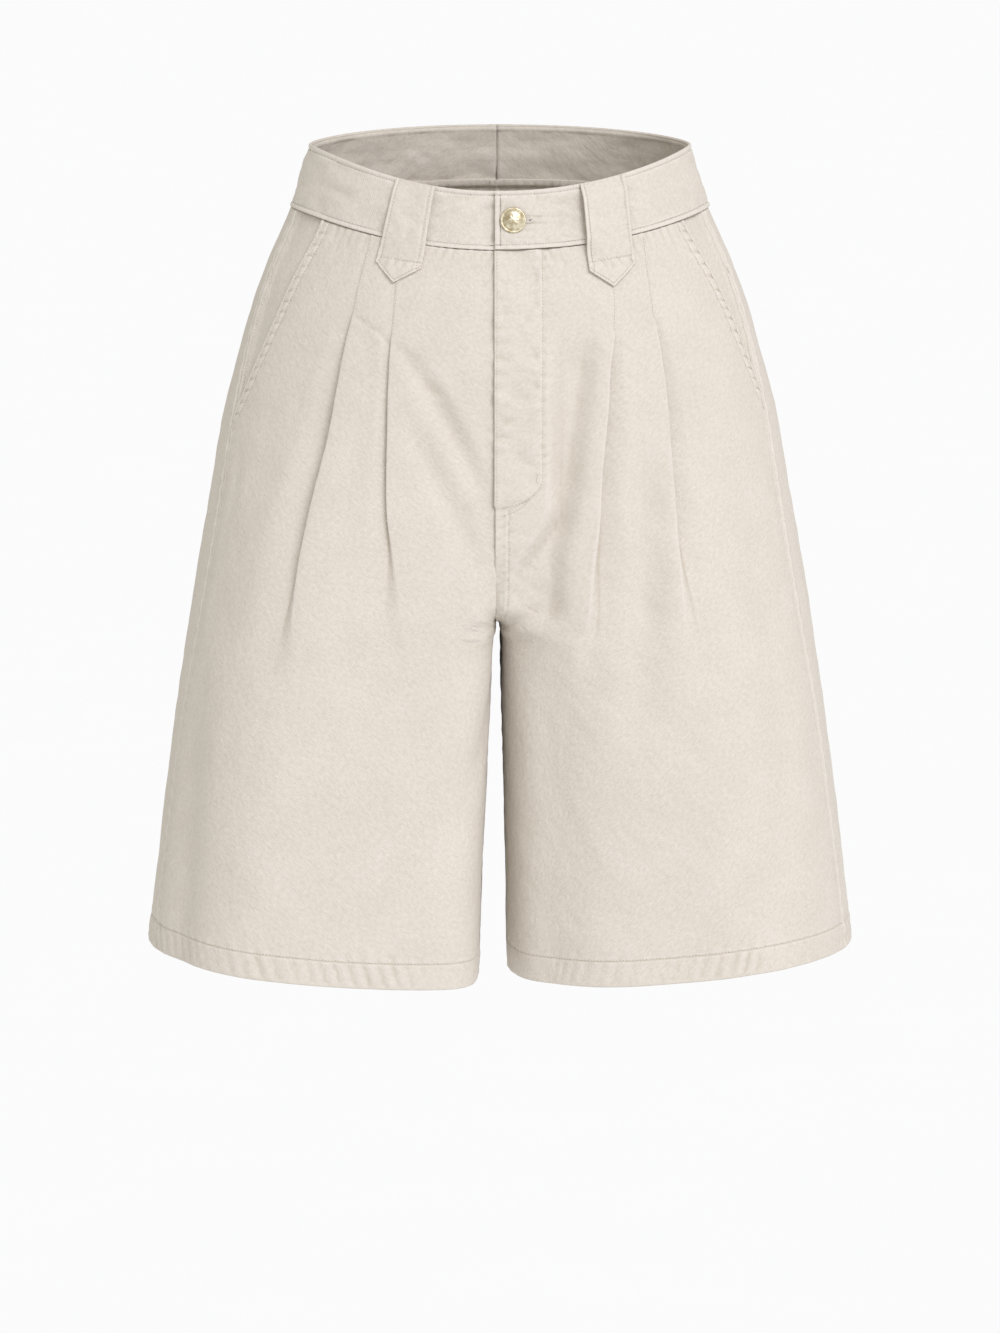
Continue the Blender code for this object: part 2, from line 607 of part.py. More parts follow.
def band_row(side, drop):
    """Middle of one half of the waistband along one row, from the centre back to its front end."""
    back = Row(BACK, side, drop)
    front = Row(FRONT, side, drop)
    distance = np.linspace(back.length, 0.0, BAND_BACK_POINTS)
    plain = band_height(side, side * back.length)
    points = [back.at(distance, np.full(BAND_BACK_POINTS, plain))]
    end = front.length + (-LAP_EDGE if side == LEFT else UNDERLAP_EDGE)
    turn = front.length - BAND_END_LENGTH
    along_side = np.linspace(0.0, turn, BAND_SIDE_POINTS + 1)[1:]
    along_end = np.linspace(turn + BAND_POINT_GAP, end, BAND_END_POINTS[side])
    stations = np.concatenate([along_side, along_end])
    height = np.array([band_height(side, side * (front.length - s)) for s in stations])
    points.append(past_centre(front, side, stations, height, drop))
    return np.concatenate(points)


def past_centre(row, side, stations, height, drop):
    """Points along a front row that carry on round the other side past the centre."""
    other = Row(FRONT, -side, drop)
    mirrored = other.at(2 * row.length - stations, height)
    own = row.at(stations, height)
    beyond = (stations > row.length)[:, None]
    return np.where(beyond, mirrored, own)


def make_waistband(material, collection):
    """Two halves that meet at the centre back and lap at the centre front."""
    for side, word in SIDE_NAMES.items():
        drops = [-BAND_HEIGHT * share for share in BAND_DROPS] + [-SEAM]
        grid = [band_row(side, drop) for drop in drops]
        add_sheet("waistband_" + word, grid, side == RIGHT, BAND_WALL, material, collection)


def loop_height(t, foot_share):
    """Height of a belt loop's middle above the base: on the band, over the belt's room, on the panel."""
    on_band = BAND_PROUD + CLEAR + LOOP_WALL / 2
    on_panel = CLEAR + LOOP_WALL / 2
    rise = smooth(t / 0.2) * smooth((foot_share - t) / 0.22)
    settled = on_band + (on_panel - on_band) * smooth((t - foot_share + 0.05) / 0.08)
    return settled + LOOP_STAND * rise


def make_front_loops(material, collection):
    """Wide front belt loops that end in a pointed tab below the band."""
    for side, word in SIDE_NAMES.items():
        top_from, top_to, foot_from, foot_to, shoulder, tip_across, tip = FRONT_LOOPS[side]
        top = -BAND_HEIGHT
        grid = []
        tip_share = (tip_across - foot_from) / (foot_to - foot_from)
        for t in FRONT_LOOP_ROWS:
            points = []
            for share in (0.0, tip_share / 2, tip_share, (1 + tip_share) / 2, 1.0):
                edge = share / tip_share if share < tip_share else (1 - share) / (1 - tip_share)
                foot = shoulder + (tip - shoulder) * edge
                drop = top + (foot - top) * t
                start = top_from + (foot_from - top_from) * t
                end = top_to + (foot_to - top_to) * t
                row = Row(FRONT, side, drop)
                place = row.distance(start + (end - start) * share)
                foot_share = (shoulder - LOOP_TACK - top) / (shoulder - top)
                points.append(row.at(place, loop_height(t, foot_share)))
            grid.append(points)
        add_sheet("belt_loop_front_" + word, grid, side == LEFT, LOOP_WALL, material, collection)


def make_back_loop(material, collection):
    """One plain loop over the centre back."""
    top = -BAND_HEIGHT
    foot_share = -top / (BACK_LOOP_FOOT - top)
    grid = []
    for t in BACK_LOOP_ROWS:
        drop = top + (BACK_LOOP_FOOT - top) * t
        row = Row(BACK, LEFT, drop)
        height = loop_height(t, foot_share)
        middle = row.at(row.length, height)
        points = []
        for share in (-1.0, -0.4, 0.4, 1.0):
            points.append(middle * (0, 1, 1) + np.array([BACK_LOOP_HALF * share, 0.0, 0.0]))
        grid.append(points)
    add_sheet("belt_loop_back", grid, True, LOOP_WALL, material, collection)


def band_frame(x, drop, height):
    """Place on the front of the band and a matrix whose Z axis points out of it."""
    row = Row(FRONT, LEFT, drop)
    point = Vector(row.at(row.length - x, height))
    normal = (Vector(row.at(row.length - x, 1.0)) - Vector(row.at(row.length - x, 0.0))).normalized()
    across = Vector((1.0, 0.0, 0.0))
    up = normal.cross(across).normalized()
    across = up.cross(normal).normalized()
    turn = Matrix((across, up, normal)).transposed().to_4x4()
    return Matrix.Translation(point) @ turn


def make_button(material, collection):
    """A shank button: rim, shallow dome and a post through the buttonhole."""
    outer_face = band_height(LEFT, 0.0) + BAND_WALL / 2
    inner_face = band_height(RIGHT, 0.0) + BAND_WALL / 2
    base = CLEAR
    post = outer_face - inner_face - CLEAR
    top = base + BUTTON_RIM
    dome = BUTTON_RADIUS - BUTTON_LIP
    profile = [(0.0, top + BUTTON_DOME)]
    for step in range(1, DOME_STEPS):
        angle = math.pi / 2 * step / DOME_STEPS
        profile.append((dome * math.sin(angle), top + BUTTON_DOME * math.cos(angle)))
    profile += [(dome, base + BUTTON_RIM * 0.75),
                (dome + BUTTON_LIP / 3, base + BUTTON_RIM * 1.15),
                (BUTTON_RADIUS, base + BUTTON_RIM * 0.7),
                (BUTTON_RADIUS - BUTTON_LIP / 4, base),
                (SHANK_RADIUS, base),
                (SHANK_RADIUS, -post),
                (0.0, -post)]
    bm = bmesh.new()
    verts = [bm.verts.new((x, 0.0, z)) for x, z in profile]
    for a, b in zip(verts[:-1], verts[1:]):
        bm.edges.new((a, b))
    item = add_mesh("button", bm, material, collection)
    screw = item.modifiers.new("turn", "SCREW")
    screw.angle = 2 * math.pi
    screw.steps = BUTTON_STEPS
    screw.render_steps = BUTTON_STEPS
    screw.use_merge_vertices = True
    screw.merge_threshold = 0.00001
    item.matrix_world = band_frame(BUTTON_X, BUTTON_DROP, outer_face)
    item.data.shade_smooth()
    return item


def cut_buttonhole(cutters):
    """A round eye for the post and a slit running on from it."""
    band = bpy.data.objects["waistband_left"]
    frame = band_frame(BUTTON_X, BUTTON_DROP, band_height(LEFT, 0.0))
    eye = bmesh.new()
    bmesh.ops.create_cone(eye, cap_ends=True, segments=16, radius1=HOLE_RADIUS,
                          radius2=HOLE_RADIUS, depth=CUT_DEPTH)
    slit = bmesh.new()
    bmesh.ops.create_cube(slit, size=1.0)
    length = SLIT_END - BUTTON_X
    bmesh.ops.scale(slit, vec=(length, SLIT_HALF * 2, CUT_DEPTH), verts=slit.verts)
    bmesh.ops.translate(slit, vec=(length / 2, 0.0, 0.0), verts=slit.verts)
    for name, bm in (("buttonhole_eye", eye), ("buttonhole_slit", slit)):
        mesh = bpy.data.meshes.new(name)
        bm.to_mesh(mesh)
        bm.free()
        cutter = bpy.data.objects.new(name, mesh)
        cutters.objects.link(cutter)
        cutter.matrix_world = frame
        cutter.hide_render = True
        cutter.display_type = "WIRE"
        cut = band.modifiers.new(name, "BOOLEAN")
        cut.operation = "DIFFERENCE"
        cut.object = cutter


def main():
    for item in list(bpy.data.objects):
        bpy.data.objects.remove(item, do_unlink=True)
    shorts = bpy.data.collections.new("bermuda_shorts")
    cutters = bpy.data.collections.new("cutters")
    bpy.context.scene.collection.children.link(shorts)
    bpy.context.scene.collection.children.link(cutters)
    twill = make_material("twill")
    brass = make_material("brass")
    make_panels(twill, shorts)
    make_pocket_facings(twill, shorts)
    make_fly_shield(twill, shorts)
    make_waistband(twill, shorts)
    make_front_loops(twill, shorts)
    make_back_loop(twill, shorts)
    make_button(brass, shorts)
    cut_buttonhole(cutters)


main()
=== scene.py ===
"""Looks of the pleated bermuda shorts: washed cotton twill, its folds, seams and stitching."""
import functools
import math

import bpy
import numpy as np
from mathutils import Matrix, Vector


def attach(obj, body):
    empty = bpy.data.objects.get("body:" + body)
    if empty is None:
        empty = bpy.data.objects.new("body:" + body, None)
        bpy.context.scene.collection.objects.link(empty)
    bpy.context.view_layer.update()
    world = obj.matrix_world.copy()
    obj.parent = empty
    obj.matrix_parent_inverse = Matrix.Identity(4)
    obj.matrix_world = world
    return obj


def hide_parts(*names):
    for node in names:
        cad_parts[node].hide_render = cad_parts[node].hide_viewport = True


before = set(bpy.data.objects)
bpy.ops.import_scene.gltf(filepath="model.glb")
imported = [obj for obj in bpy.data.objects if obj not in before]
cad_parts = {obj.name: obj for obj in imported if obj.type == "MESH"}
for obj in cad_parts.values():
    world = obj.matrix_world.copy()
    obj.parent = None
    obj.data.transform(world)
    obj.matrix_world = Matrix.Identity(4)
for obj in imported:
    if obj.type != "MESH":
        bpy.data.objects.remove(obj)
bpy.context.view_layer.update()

# ---- cloth and seams, in metres
CLOTH = 0.0009
HEM_WALL = 0.0021
TURNED_WALL = 0.0005        # of hidden cloth, turned back or run on under a neighbour
BAND_WALL = 0.0022
LOOP_WALL = 0.0018
SEAM = 0.0002               # half the gap between two pieces
CLEAR = 0.00035             # room between a loop and the cloth under it
FACING_DEPTH = 0.0024
TURNED = ((0.0080, -0.00098), (0.0052, -0.00098), (0.0026, -0.00098), (0.0008, -0.00094),
          (0.0001, -0.00055))       # inside an edge, height: cloth turned back under itself
ALLOWANCE = ((0.0050, -0.00130), (0.0036, -0.00128), (0.0022, -0.00122), (0.0010, -0.00110),
             (0.0003, -0.00075))    # past a seam, height: cloth that runs on under a neighbour
HIDDEN = len(TURNED)

# ---- main heights; a drop is measured down from the waist seam, a level is the frame's z
SEAM_LEVEL = -0.0215
BAND_HEIGHT = 0.0415
HEM_DROP = 0.4975
HEM_HEIGHT = 0.0180
HEM_ROW = HEM_DROP - HEM_HEIGHT     # drop of the row of stitches above the hem
CROTCH_LEVEL = -0.2945
HEM_TILT = 0.0240                   # how much lower the hem hangs at the inseam

FRONT, BACK = "front", "back"
LEFT, RIGHT = 1, -1
SIDE_NAMES = {LEFT: "left", RIGHT: "right"}
SEEDS = {(FRONT, LEFT): 100, (FRONT, RIGHT): 200, (BACK, LEFT): 300, (BACK, RIGHT): 400}

# ---- outline of the worn shorts, as the frame has it
SECTIONS = (
    # level, half_width, front, back, front_dip, back_rise, seam
    (0.0200, 0.1270, 0.0965, 0.0990, 0.0262, 0.0080, 0.0260),
    (-0.0010, 0.1340, 0.0995, 0.1020, 0.0245, 0.0080, 0.0265),
    (-0.0215, 0.1402, 0.1030, 0.1065, 0.0228, 0.0080, 0.0270),
    (-0.0650, 0.1590, 0.1130, 0.1220, 0.0190, 0.0065, 0.0290),
    (-0.1055, 0.1724, 0.1185, 0.1350, 0.0150, 0.0045, 0.0325),
    (-0.1595, 0.1860, 0.1225, 0.1430, 0.0085, 0.0015, 0.0380),
    (-0.2140, 0.1960, 0.1240, 0.1440, 0.0030, 0.0000, 0.0435),
    (-0.2685, 0.2059, 0.1240, 0.1400, 0.0000, 0.0000, 0.0505),
    (-0.3233, 0.2145, 0.1235, 0.1340, 0.0000, 0.0000, 0.0545),
    (-0.4060, 0.2260, 0.1230, 0.1290, 0.0000, 0.0000, 0.0530),
    (-0.4750, 0.2343, 0.1230, 0.1270, 0.0000, 0.0000, 0.0490),
    (-0.5250, 0.2403, 0.1235, 0.1270, 0.0000, 0.0000, 0.0480),
)
LEGS = (
    # level, gap, centre, front, back, inseam, inner_front, inner_back
    (-0.1400, 0.0006, -0.0022, 0.1238, 0.1440, 0.0000, 9.8, 5.0),
    (-0.2500, 0.0006, -0.0022, 0.1238, 0.1405, 0.0000, 9.2, 4.3),
    (-0.3050, 0.0006, -0.0022, 0.1238, 0.1350, 0.0000, 8.4, 3.6),
    (-0.3110, 0.0044, -0.0024, 0.1236, 0.1342, 0.0020, 8.2, 3.5),
    (-0.3400, 0.0062, -0.0029, 0.1230, 0.1305, 0.0190, 8.0, 3.1),
    (-0.4000, 0.0112, -0.0035, 0.1215, 0.1255, 0.0400, 7.6, 2.7),
    (-0.4600, 0.0164, -0.0043, 0.1200, 0.1225, 0.0490, 7.2, 2.6),
    (-0.5250, 0.0195, -0.0051, 0.1195, 0.1220, 0.0520, 7.0, 2.6),
)
INNER_SQUARE = {LEFT: 0.50, RIGHT: 1.0}
CROTCH = {FRONT: (0.2500, 0.2835), BACK: (0.1700, 0.2835)}      # drops where it starts and ends
LEG_BLEND = (0.12, 0.36)        # drops between which a side turns from torso to leg
INNER_BLEND = {FRONT: 0.205, BACK: 0.13}
TORSO_POWER = 2.1
LEG_POWER = 2.35
CROTCH_POWER = {FRONT: 3.0, BACK: 2.3}
DIP_POWER = {LEFT: 2.1, RIGHT: 2.6}
RISE_POWER = 1.6
INNER_SHARE = (0.60, 0.98)
INSEAM_STRETCH = 12
SAMPLES = 361                   # points along a row
LEG_SAMPLES = 721               # points round a leg's oval

# ---- pleats: sewn flat at the top, then folded, then opening out
SEWN = (0.0, 0.0003, 0.0003, 0.007, 0.0014)      # under, valley, ridge, width, spread
PLEATS = {
    # the outer pleat, then the inner: drop, across, under, valley, ridge, width, spread
    RIGHT: (
        (
            (0.000, 0.480, *SEWN),
            (0.052, 0.485, *SEWN),
            (0.058, 0.484, 0.0060, 0.0014, 0.0004, 0.010, 0.0008),
            (0.066, 0.480, 0.0095, 0.0026, 0.0005, 0.014, 0.0005),
            (0.096, 0.468, 0.0095, 0.0042, 0.0010, 0.019, 0.0005),
            (0.140, 0.455, 0.0080, 0.0056, 0.0020, 0.024, 0.0005),
            (0.186, 0.441, 0.0045, 0.0056, 0.0026, 0.028, 0.0008),
            (0.225, 0.435, 0.0010, 0.0046, 0.0024, 0.031, 0.0022),
            (0.260, 0.434, 0.0000, 0.0030, 0.0016, 0.034, 0.0060),
            (0.296, 0.442, 0.0000, 0.0013, 0.0006, 0.036, 0.0150),
            (0.340, 0.452, 0.0000, 0.0000, 0.0000, 0.036, 0.0300),
        ),
        (
            (0.000, 0.605, *SEWN),
            (0.062, 0.638, *SEWN),
            (0.068, 0.638, 0.0060, 0.0013, 0.0004, 0.007, 0.0008),
            (0.076, 0.639, 0.0095, 0.0018, 0.0006, 0.008, 0.0005),
            (0.105, 0.644, 0.0090, 0.0022, 0.0014, 0.009, 0.0005),
            (0.145, 0.655, 0.0075, 0.0024, 0.0022, 0.010, 0.0005),
            (0.190, 0.678, 0.0035, 0.0020, 0.0024, 0.012, 0.0009),
            (0.222, 0.708, 0.0005, 0.0014, 0.0020, 0.015, 0.0040),
            (0.258, 0.751, 0.0000, 0.0010, 0.0014, 0.020, 0.0110),
            (0.297, 0.782, 0.0000, 0.0004, 0.0006, 0.028, 0.0200),
            (0.340, 0.800, 0.0000, 0.0000, 0.0000, 0.034, 0.0300),
        ),
    ),
    LEFT: (
        (
            (0.000, 0.396, *SEWN),
            (0.035, 0.436, *SEWN),
            (0.056, 0.447, *SEWN),
            (0.062, 0.448, 0.0060, 0.0012, 0.0004, 0.008, 0.0008),
            (0.076, 0.446, 0.0095, 0.0024, 0.0006, 0.010, 0.0006),
            (0.115, 0.444, 0.0090, 0.0034, 0.0014, 0.014, 0.0006),
            (0.147, 0.450, 0.0070, 0.0036, 0.0022, 0.016, 0.0008),
            (0.185, 0.459, 0.0035, 0.0034, 0.0028, 0.020, 0.0016),
            (0.220, 0.469, 0.0010, 0.0028, 0.0026, 0.024, 0.0040),
            (0.255, 0.475, 0.0000, 0.0018, 0.0018, 0.026, 0.0080),
            (0.295, 0.484, 0.0000, 0.0008, 0.0008, 0.030, 0.0180),
            (0.335, 0.492, 0.0000, 0.0000, 0.0000, 0.030, 0.0300),
        ),
        (
            (0.000, 0.560, *SEWN),
            (0.032, 0.573, *SEWN),
            (0.060, 0.596, *SEWN),
            (0.067, 0.604, 0.0060, 0.0012, 0.0006, 0.008, 0.0008),
            (0.089, 0.630, 0.0090, 0.0026, 0.0014, 0.012, 0.0006),
            (0.125, 0.652, 0.0080, 0.0032, 0.0030, 0.016, 0.0008),
            (0.161, 0.680, 0.0050, 0.0034, 0.0038, 0.019, 0.0012),
            (0.204, 0.707, 0.0020, 0.0030, 0.0038, 0.022, 0.0030),
            (0.240, 0.748, 0.0005, 0.0024, 0.0030, 0.024, 0.0060),
            (0.275, 0.794, 0.0000, 0.0016, 0.0018, 0.026, 0.0100),
            (0.310, 0.821, 0.0000, 0.0006, 0.0006, 0.030, 0.0180),
            (0.345, 0.835, 0.0000, 0.0000, 0.0000, 0.030, 0.0300),
        ),
    ),
}
PLEAT_STITCHED = {RIGHT: (0.055, 0.065), LEFT: (0.058, 0.062)}      # drops of the sewn feet
FOLD_PATH = (
    # along, height, share: once round the folded cloth, from its valley to its ridge
    (0.00, 0.00, 0.00), (0.35, 0.00, 0.08), (0.70, 0.00, 0.18), (0.90, 0.03, 0.26),
    (0.98, 0.12, 0.33), (1.00, 0.25, 0.39), (0.98, 0.38, 0.44), (0.90, 0.47, 0.48),
    (0.60, 0.50, 0.52), (0.30, 0.50, 0.56), (0.10, 0.52, 0.60), (0.02, 0.60, 0.66),
    (0.00, 0.75, 0.74), (0.006, 0.92, 0.82), (0.03, 0.99, 0.90), (0.12, 1.00, 1.00),
)
FOLD_OPEN = 0.0060              # a fold that reaches less far under is on its way to flat
VALLEY_SHARES = (0.0, 0.16, 0.32, 0.46, 0.60, 0.72, 0.84, 0.94)
RIDGE_FADE = 1.25
FOLD_CALM = 0.020               # how far folds and waves stay away from an edge
FLY_CALM = 0.012

# ---- soft hanging folds; a negative depth is a hollow, and a seventh number is the width on
# the side towards the centre
FRONT_FOLDS = {
    RIGHT: (
        # drop, across, end_drop, end_across, width, depth
        (0.150, 0.420, 0.530, 0.450, 0.055, 0.0090, 0.110),
        (0.330, 0.120, 0.540, 0.190, 0.018, -0.0036),
        (0.071, 0.677, 0.102, 0.782, 0.007, -0.0020),
        (0.095, 0.765, 0.175, 0.970, 0.009, -0.0036),
        (0.124, 0.721, 0.228, 0.955, 0.010, -0.0030),
        (0.090, 0.815, 0.155, 0.985, 0.007, 0.0010),
        (0.330, 0.560, 0.490, 0.520, 0.018, -0.0012),
        (0.060, 0.545, 0.110, 0.585, 0.010, -0.0008),
        (0.290, 0.960, 0.400, 0.900, 0.008, -0.0016),
    ),
    LEFT: (
        (0.250, 0.180, 0.450, 0.280, 0.016, -0.0022),
        (0.250, 0.480, 0.480, 0.560, 0.022, -0.0018),
        (0.063, 0.700, 0.185, 0.800, 0.0080, -0.0082, 0.024),
        (0.185, 0.800, 0.262, 0.900, 0.0080, -0.0086, 0.028),
        (0.262, 0.878, 0.560, 0.905, 0.034, -0.0110),
        (0.150, 0.515, 0.265, 0.600, 0.012, -0.0048),
        (0.240, 0.590, 0.330, 0.680, 0.014, -0.0036),
        (0.230, 0.905, 0.285, 0.965, 0.006, -0.0010),
        (0.330, 0.360, 0.490, 0.400, 0.014, -0.0010),
    ),
}
# ---- short creases, in place on the panel
FRONT_CREASES = {
    RIGHT: (
        # drop, across, end_drop, end_across, width, depth
        (0.0560, 0.490, 0.0600, 0.548, 0.0020, -0.0005),
        (0.0600, 0.543, 0.0720, 0.632, 0.0022, -0.0006),
        (0.0030, 0.300, 0.0230, 0.360, 0.0030, -0.0004),
        (0.0040, 0.355, 0.0190, 0.400, 0.0026, -0.0004),
        (0.0080, 0.720, 0.0320, 0.800, 0.0030, -0.0003),
        (0.0100, 0.900, 0.0420, 0.955, 0.0032, -0.0004),
        (0.2300, 0.940, 0.2520, 0.880, 0.0032, -0.0005),
        (0.2450, 0.960, 0.2700, 0.900, 0.0034, -0.0005),
        (0.1500, 0.060, 0.2150, 0.085, 0.0060, -0.0006),
    ),
    LEFT: (
        (0.2035, 0.985, 0.2015, 0.880, 0.0032, -0.0006),
        (0.2110, 0.985, 0.2090, 0.890, 0.0038, 0.0004),
        (0.2280, 0.975, 0.2480, 0.900, 0.0030, -0.0006),
        (0.2400, 0.980, 0.2640, 0.915, 0.0032, -0.0006),
        (0.2150, 0.970, 0.2330, 0.890, 0.0030, -0.0004),
        (0.0600, 0.420, 0.0690, 0.545, 0.0030, -0.0004),
        (0.0050, 0.680, 0.0250, 0.640, 0.0030, -0.0004),
        (0.0060, 0.250, 0.0260, 0.290, 0.0028, -0.0003),
    ),
}
BACK_CREASES = {
    RIGHT: (
        (0.2500, 0.780, 0.2620, 0.950, 0.0040, -0.0007),
        (0.2700, 0.760, 0.2880, 0.930, 0.0045, -0.0007),
        (0.2350, 0.820, 0.2420, 0.960, 0.0034, -0.0005),
        (0.0050, 0.600, 0.0280, 0.640, 0.0030, -0.0004),
    ),
    LEFT: (
        (0.2450, 0.770, 0.2580, 0.950, 0.0042, -0.0007),
        (0.2660, 0.740, 0.2840, 0.920, 0.0045, -0.0006),
        (0.2300, 0.830, 0.2380, 0.960, 0.0034, -0.0005),
        (0.0060, 0.640, 0.0300, 0.610, 0.0030, -0.0004),
    ),
}
RANDOM_CREASES = 26
BACK_FOLDS = {
    RIGHT: (
        (0.200, 0.320, 0.480, 0.380, 0.022, -0.0030),
        (0.260, 0.560, 0.480, 0.580, 0.024, -0.0025),
        (0.240, 0.450, 0.470, 0.480, 0.020, 0.0020),
        (0.120, 0.600, 0.230, 0.930, 0.012, -0.0010),
        (0.150, 0.500, 0.260, 0.880, 0.010, -0.0009),
        (0.020, 0.400, 0.090, 0.440, 0.012, -0.0009),
    ),
    LEFT: (
        (0.190, 0.340, 0.470, 0.400, 0.022, -0.0028),
        (0.270, 0.580, 0.480, 0.600, 0.024, -0.0025),
        (0.250, 0.470, 0.480, 0.500, 0.020, 0.0022),
        (0.110, 0.580, 0.220, 0.920, 0.012, -0.0011),
        (0.165, 0.520, 0.270, 0.900, 0.009, -0.0009),
        (0.020, 0.430, 0.085, 0.450, 0.012, -0.0008),
    ),
}

# ---- pocket openings, fly, waistband ends, loops
# a pocket's width at the waist and the drop of its foot
POCKET = {RIGHT: (0.0378, 0.1400), LEFT: (0.0310, 0.1250)}
POCKET_UNDER = 0.016            # how far the facing runs on behind the opening's edge
POCKET_FOOT = 0.010             # and below its foot
POCKET_BOW = {RIGHT: -1.0, LEFT: -0.6}
POCKET_RIPPLE = 0.0080
FLY_WIDTH = 0.0300
FLY_END = (0.1650, 0.1870)      # drops where the J begins to turn in and where it ends
FLY_FOOT_TURN = 0.94
FLY_STEP = 0.0020
FLY_RAISE = 0.0008              # of the fly's cloth at the J, at its middle and at the lap
FLY_MIDDLE_RAISE = 0.0013
FLY_LAP_RAISE = 0.0019
FLY_LAP = 0.0015                # how far the left front laps past the centre
RISE_RAISE = 0.0008             # the same two below the fly
RISE_LAP = 0.0007
RISE_DIP = 0.0009
SHIELD_DEPTH = 0.0036
SHIELD_WIDTH = (-0.0070, 0.0300)
SHIELD_FOOT = 0.1900
LAP_EDGE = -0.0008              # x where the upper end of the band stops
UNDERLAP_EDGE = 0.0310          # and the lower one
LAP_RISE = 0.0016
UNDERLAP_DIP = 0.0017
LAP_SLOPE = 0.0110
UNDERLAP_SPARE = 0.0020
LAP_SPARE = 0.0010
BAND_PROUD = 0.0004
BAND_SEAM = 0.00012
FRONT_LOOPS = {
    # side: (top from, top to, foot from, foot to, shoulder drop, tip across, tip drop)
    RIGHT: (0.554, 0.731, 0.530, 0.712, 0.0170, 0.617, 0.0290),
    LEFT: (0.440, 0.645, 0.476, 0.657, 0.0191, 0.580, 0.0320),
}
LOOP_STAND = 0.0012
LOOP_LIFT = {RIGHT: 0.0006, LEFT: 0.0030}    # how much further the edge by the fly stands off
LOOP_TACK = 0.0120
LOOP_ROW = 0.0130
BACK_LOOP_HALF = 0.0075
BACK_LOOP_FOOT = 0.0120
BUTTON_X = 0.0105               # from the centre towards the wearer's left
BUTTON_DROP = -0.0205
SLIT_END = 0.0230
SLIT_SPAN = (BUTTON_X + 0.0070, SLIT_END)       # the part that shows past the button
# size of the dark sliver of painted shade in the buttonhole's slit
SLIT_WIDTH = 0.00062
SLIT_HEIGHT = 0.0012

# ---- stitching
STITCH_PITCH = 0.0022
STITCH_LENGTH = 0.0015
THREAD_RADIUS = 0.00022
THREAD_LIFT = 0.00014
TUBE_SIDES = 5
# dark dots of painted shade stand for the needle holes; this is their size
HOLE_RADIUS = 0.00026
POCKET_ROWS = (0.0016, 0.0072)      # rows of stitches, by distance from the edge or seam
RISE_ROW = 0.0078
BACK_ROW = 0.0066
FACING_ROW = 0.0042
LOOP_EDGE_ROW = 0.0024
BAND_ROW = 0.0029
FIRST_STITCH = 0.002                # drop where the rows begin under the waistband


def smooth(value):
    value = np.clip(value, 0.0, 1.0)
    return value * value * (3.0 - 2.0 * value)


def bump_at(distance, width):
    """A soft bump of height one and that half width."""
    return np.exp(-(distance / width) ** 2)


def table_curve(table, column, at):
    """A smooth curve through one column of a table, read at the given first column."""
    rows = sorted(table)
    x = np.array([row[0] for row in rows])
    y = np.array([row[column] for row in rows])
    at = np.clip(at, x[0], x[-1])
    chord = np.diff(y) / np.diff(x)
    both = chord[1:] * chord[:-1]
    total = np.where(both > 0, chord[1:] + chord[:-1], 1.0)
    between = np.where(both > 0, 2 * both / total, 0.0)
    slope = np.concatenate([[chord[0]], between, [chord[-1]]])
    i = np.clip(np.searchsorted(x, at) - 1, 0, len(x) - 2)
    step = x[i + 1] - x[i]
    t = (at - x[i]) / step
    start = (2 * t**3 - 3 * t**2 + 1) * y[i] + (t**3 - 2 * t**2 + t) * step * slope[i]
    end = (3 * t**2 - 2 * t**3) * y[i + 1] + (t**3 - t**2) * step * slope[i + 1]
    return start + end


def lattice_noise(u, v, seed, size=97):
    """Smooth seeded noise from -1 to 1; one cell of u or v is one wave."""
    values = np.random.RandomState(seed).uniform(-1.0, 1.0, (size, size))
    u, v = np.broadcast_arrays(np.asarray(u, float), np.asarray(v, float))
    i, j = np.floor(u).astype(int), np.floor(v).astype(int)
    s, t = smooth(u - i), smooth(v - j)
    a, b = values[i % size, j % size], values[(i + 1) % size, j % size]
    c, d = values[i % size, (j + 1) % size], values[(i + 1) % size, (j + 1) % size]
    return (a * (1 - s) + b * s) * (1 - t) + (c * (1 - s) + d * s) * t


def puckers(along, pitch, seed):
    """Uneven small waves along a seam, from -1 to 1."""
    drift = 0.45 * lattice_noise(along / (pitch * 2.7), 0.5, seed)
    size = 0.62 + 0.38 * lattice_noise(along / (pitch * 1.9), 7.5, seed)
    return np.sin(2 * math.pi * (along / pitch + drift)) * size


def unit(vector):
    return vector / np.linalg.norm(vector)


def add_object(name, data):
    item = bpy.data.objects.new(name, data)
    bpy.context.scene.collection.objects.link(item)
    return item


def add_mesh(name, verts, faces, *materials):
    mesh = bpy.data.meshes.new(name)
    mesh.from_pydata(verts, [], faces)
    mesh.shade_smooth()
    for material in materials:
        mesh.materials.append(material)
    return add_object(name, mesh)


# ---- the base surface, as in the frame
def oval(angle, half_width, front, back, outer, inner_front, inner_back):
    """A rounded oval; angle 0 is the side, a quarter turn on is the front."""
    c, s = np.cos(angle), np.sin(angle)
    depth = np.where(s > 0, front, back)
    power = np.where(c > 0, outer, np.where(s > 0, inner_front, inner_back))
    reach = (np.abs(c / half_width) ** power + np.abs(s / depth) ** power) ** (-1 / power)
    return reach * c, -reach * s


def oval_angle(ahead, half_width, depth, power):
    x = half_width * (1 - (ahead / depth) ** power) ** (1 / power)
    return math.atan2(ahead, x)


def run_along(points):
    steps = np.linalg.norm(np.diff(points, axis=0), axis=1)
    return np.concatenate([[0.0], np.cumsum(steps)])


def read_at(run, at, values):
    """The point or points at some place along a run; values holds one row for each axis."""
    return np.stack([np.interp(at, run, column) for column in values], axis=-1)


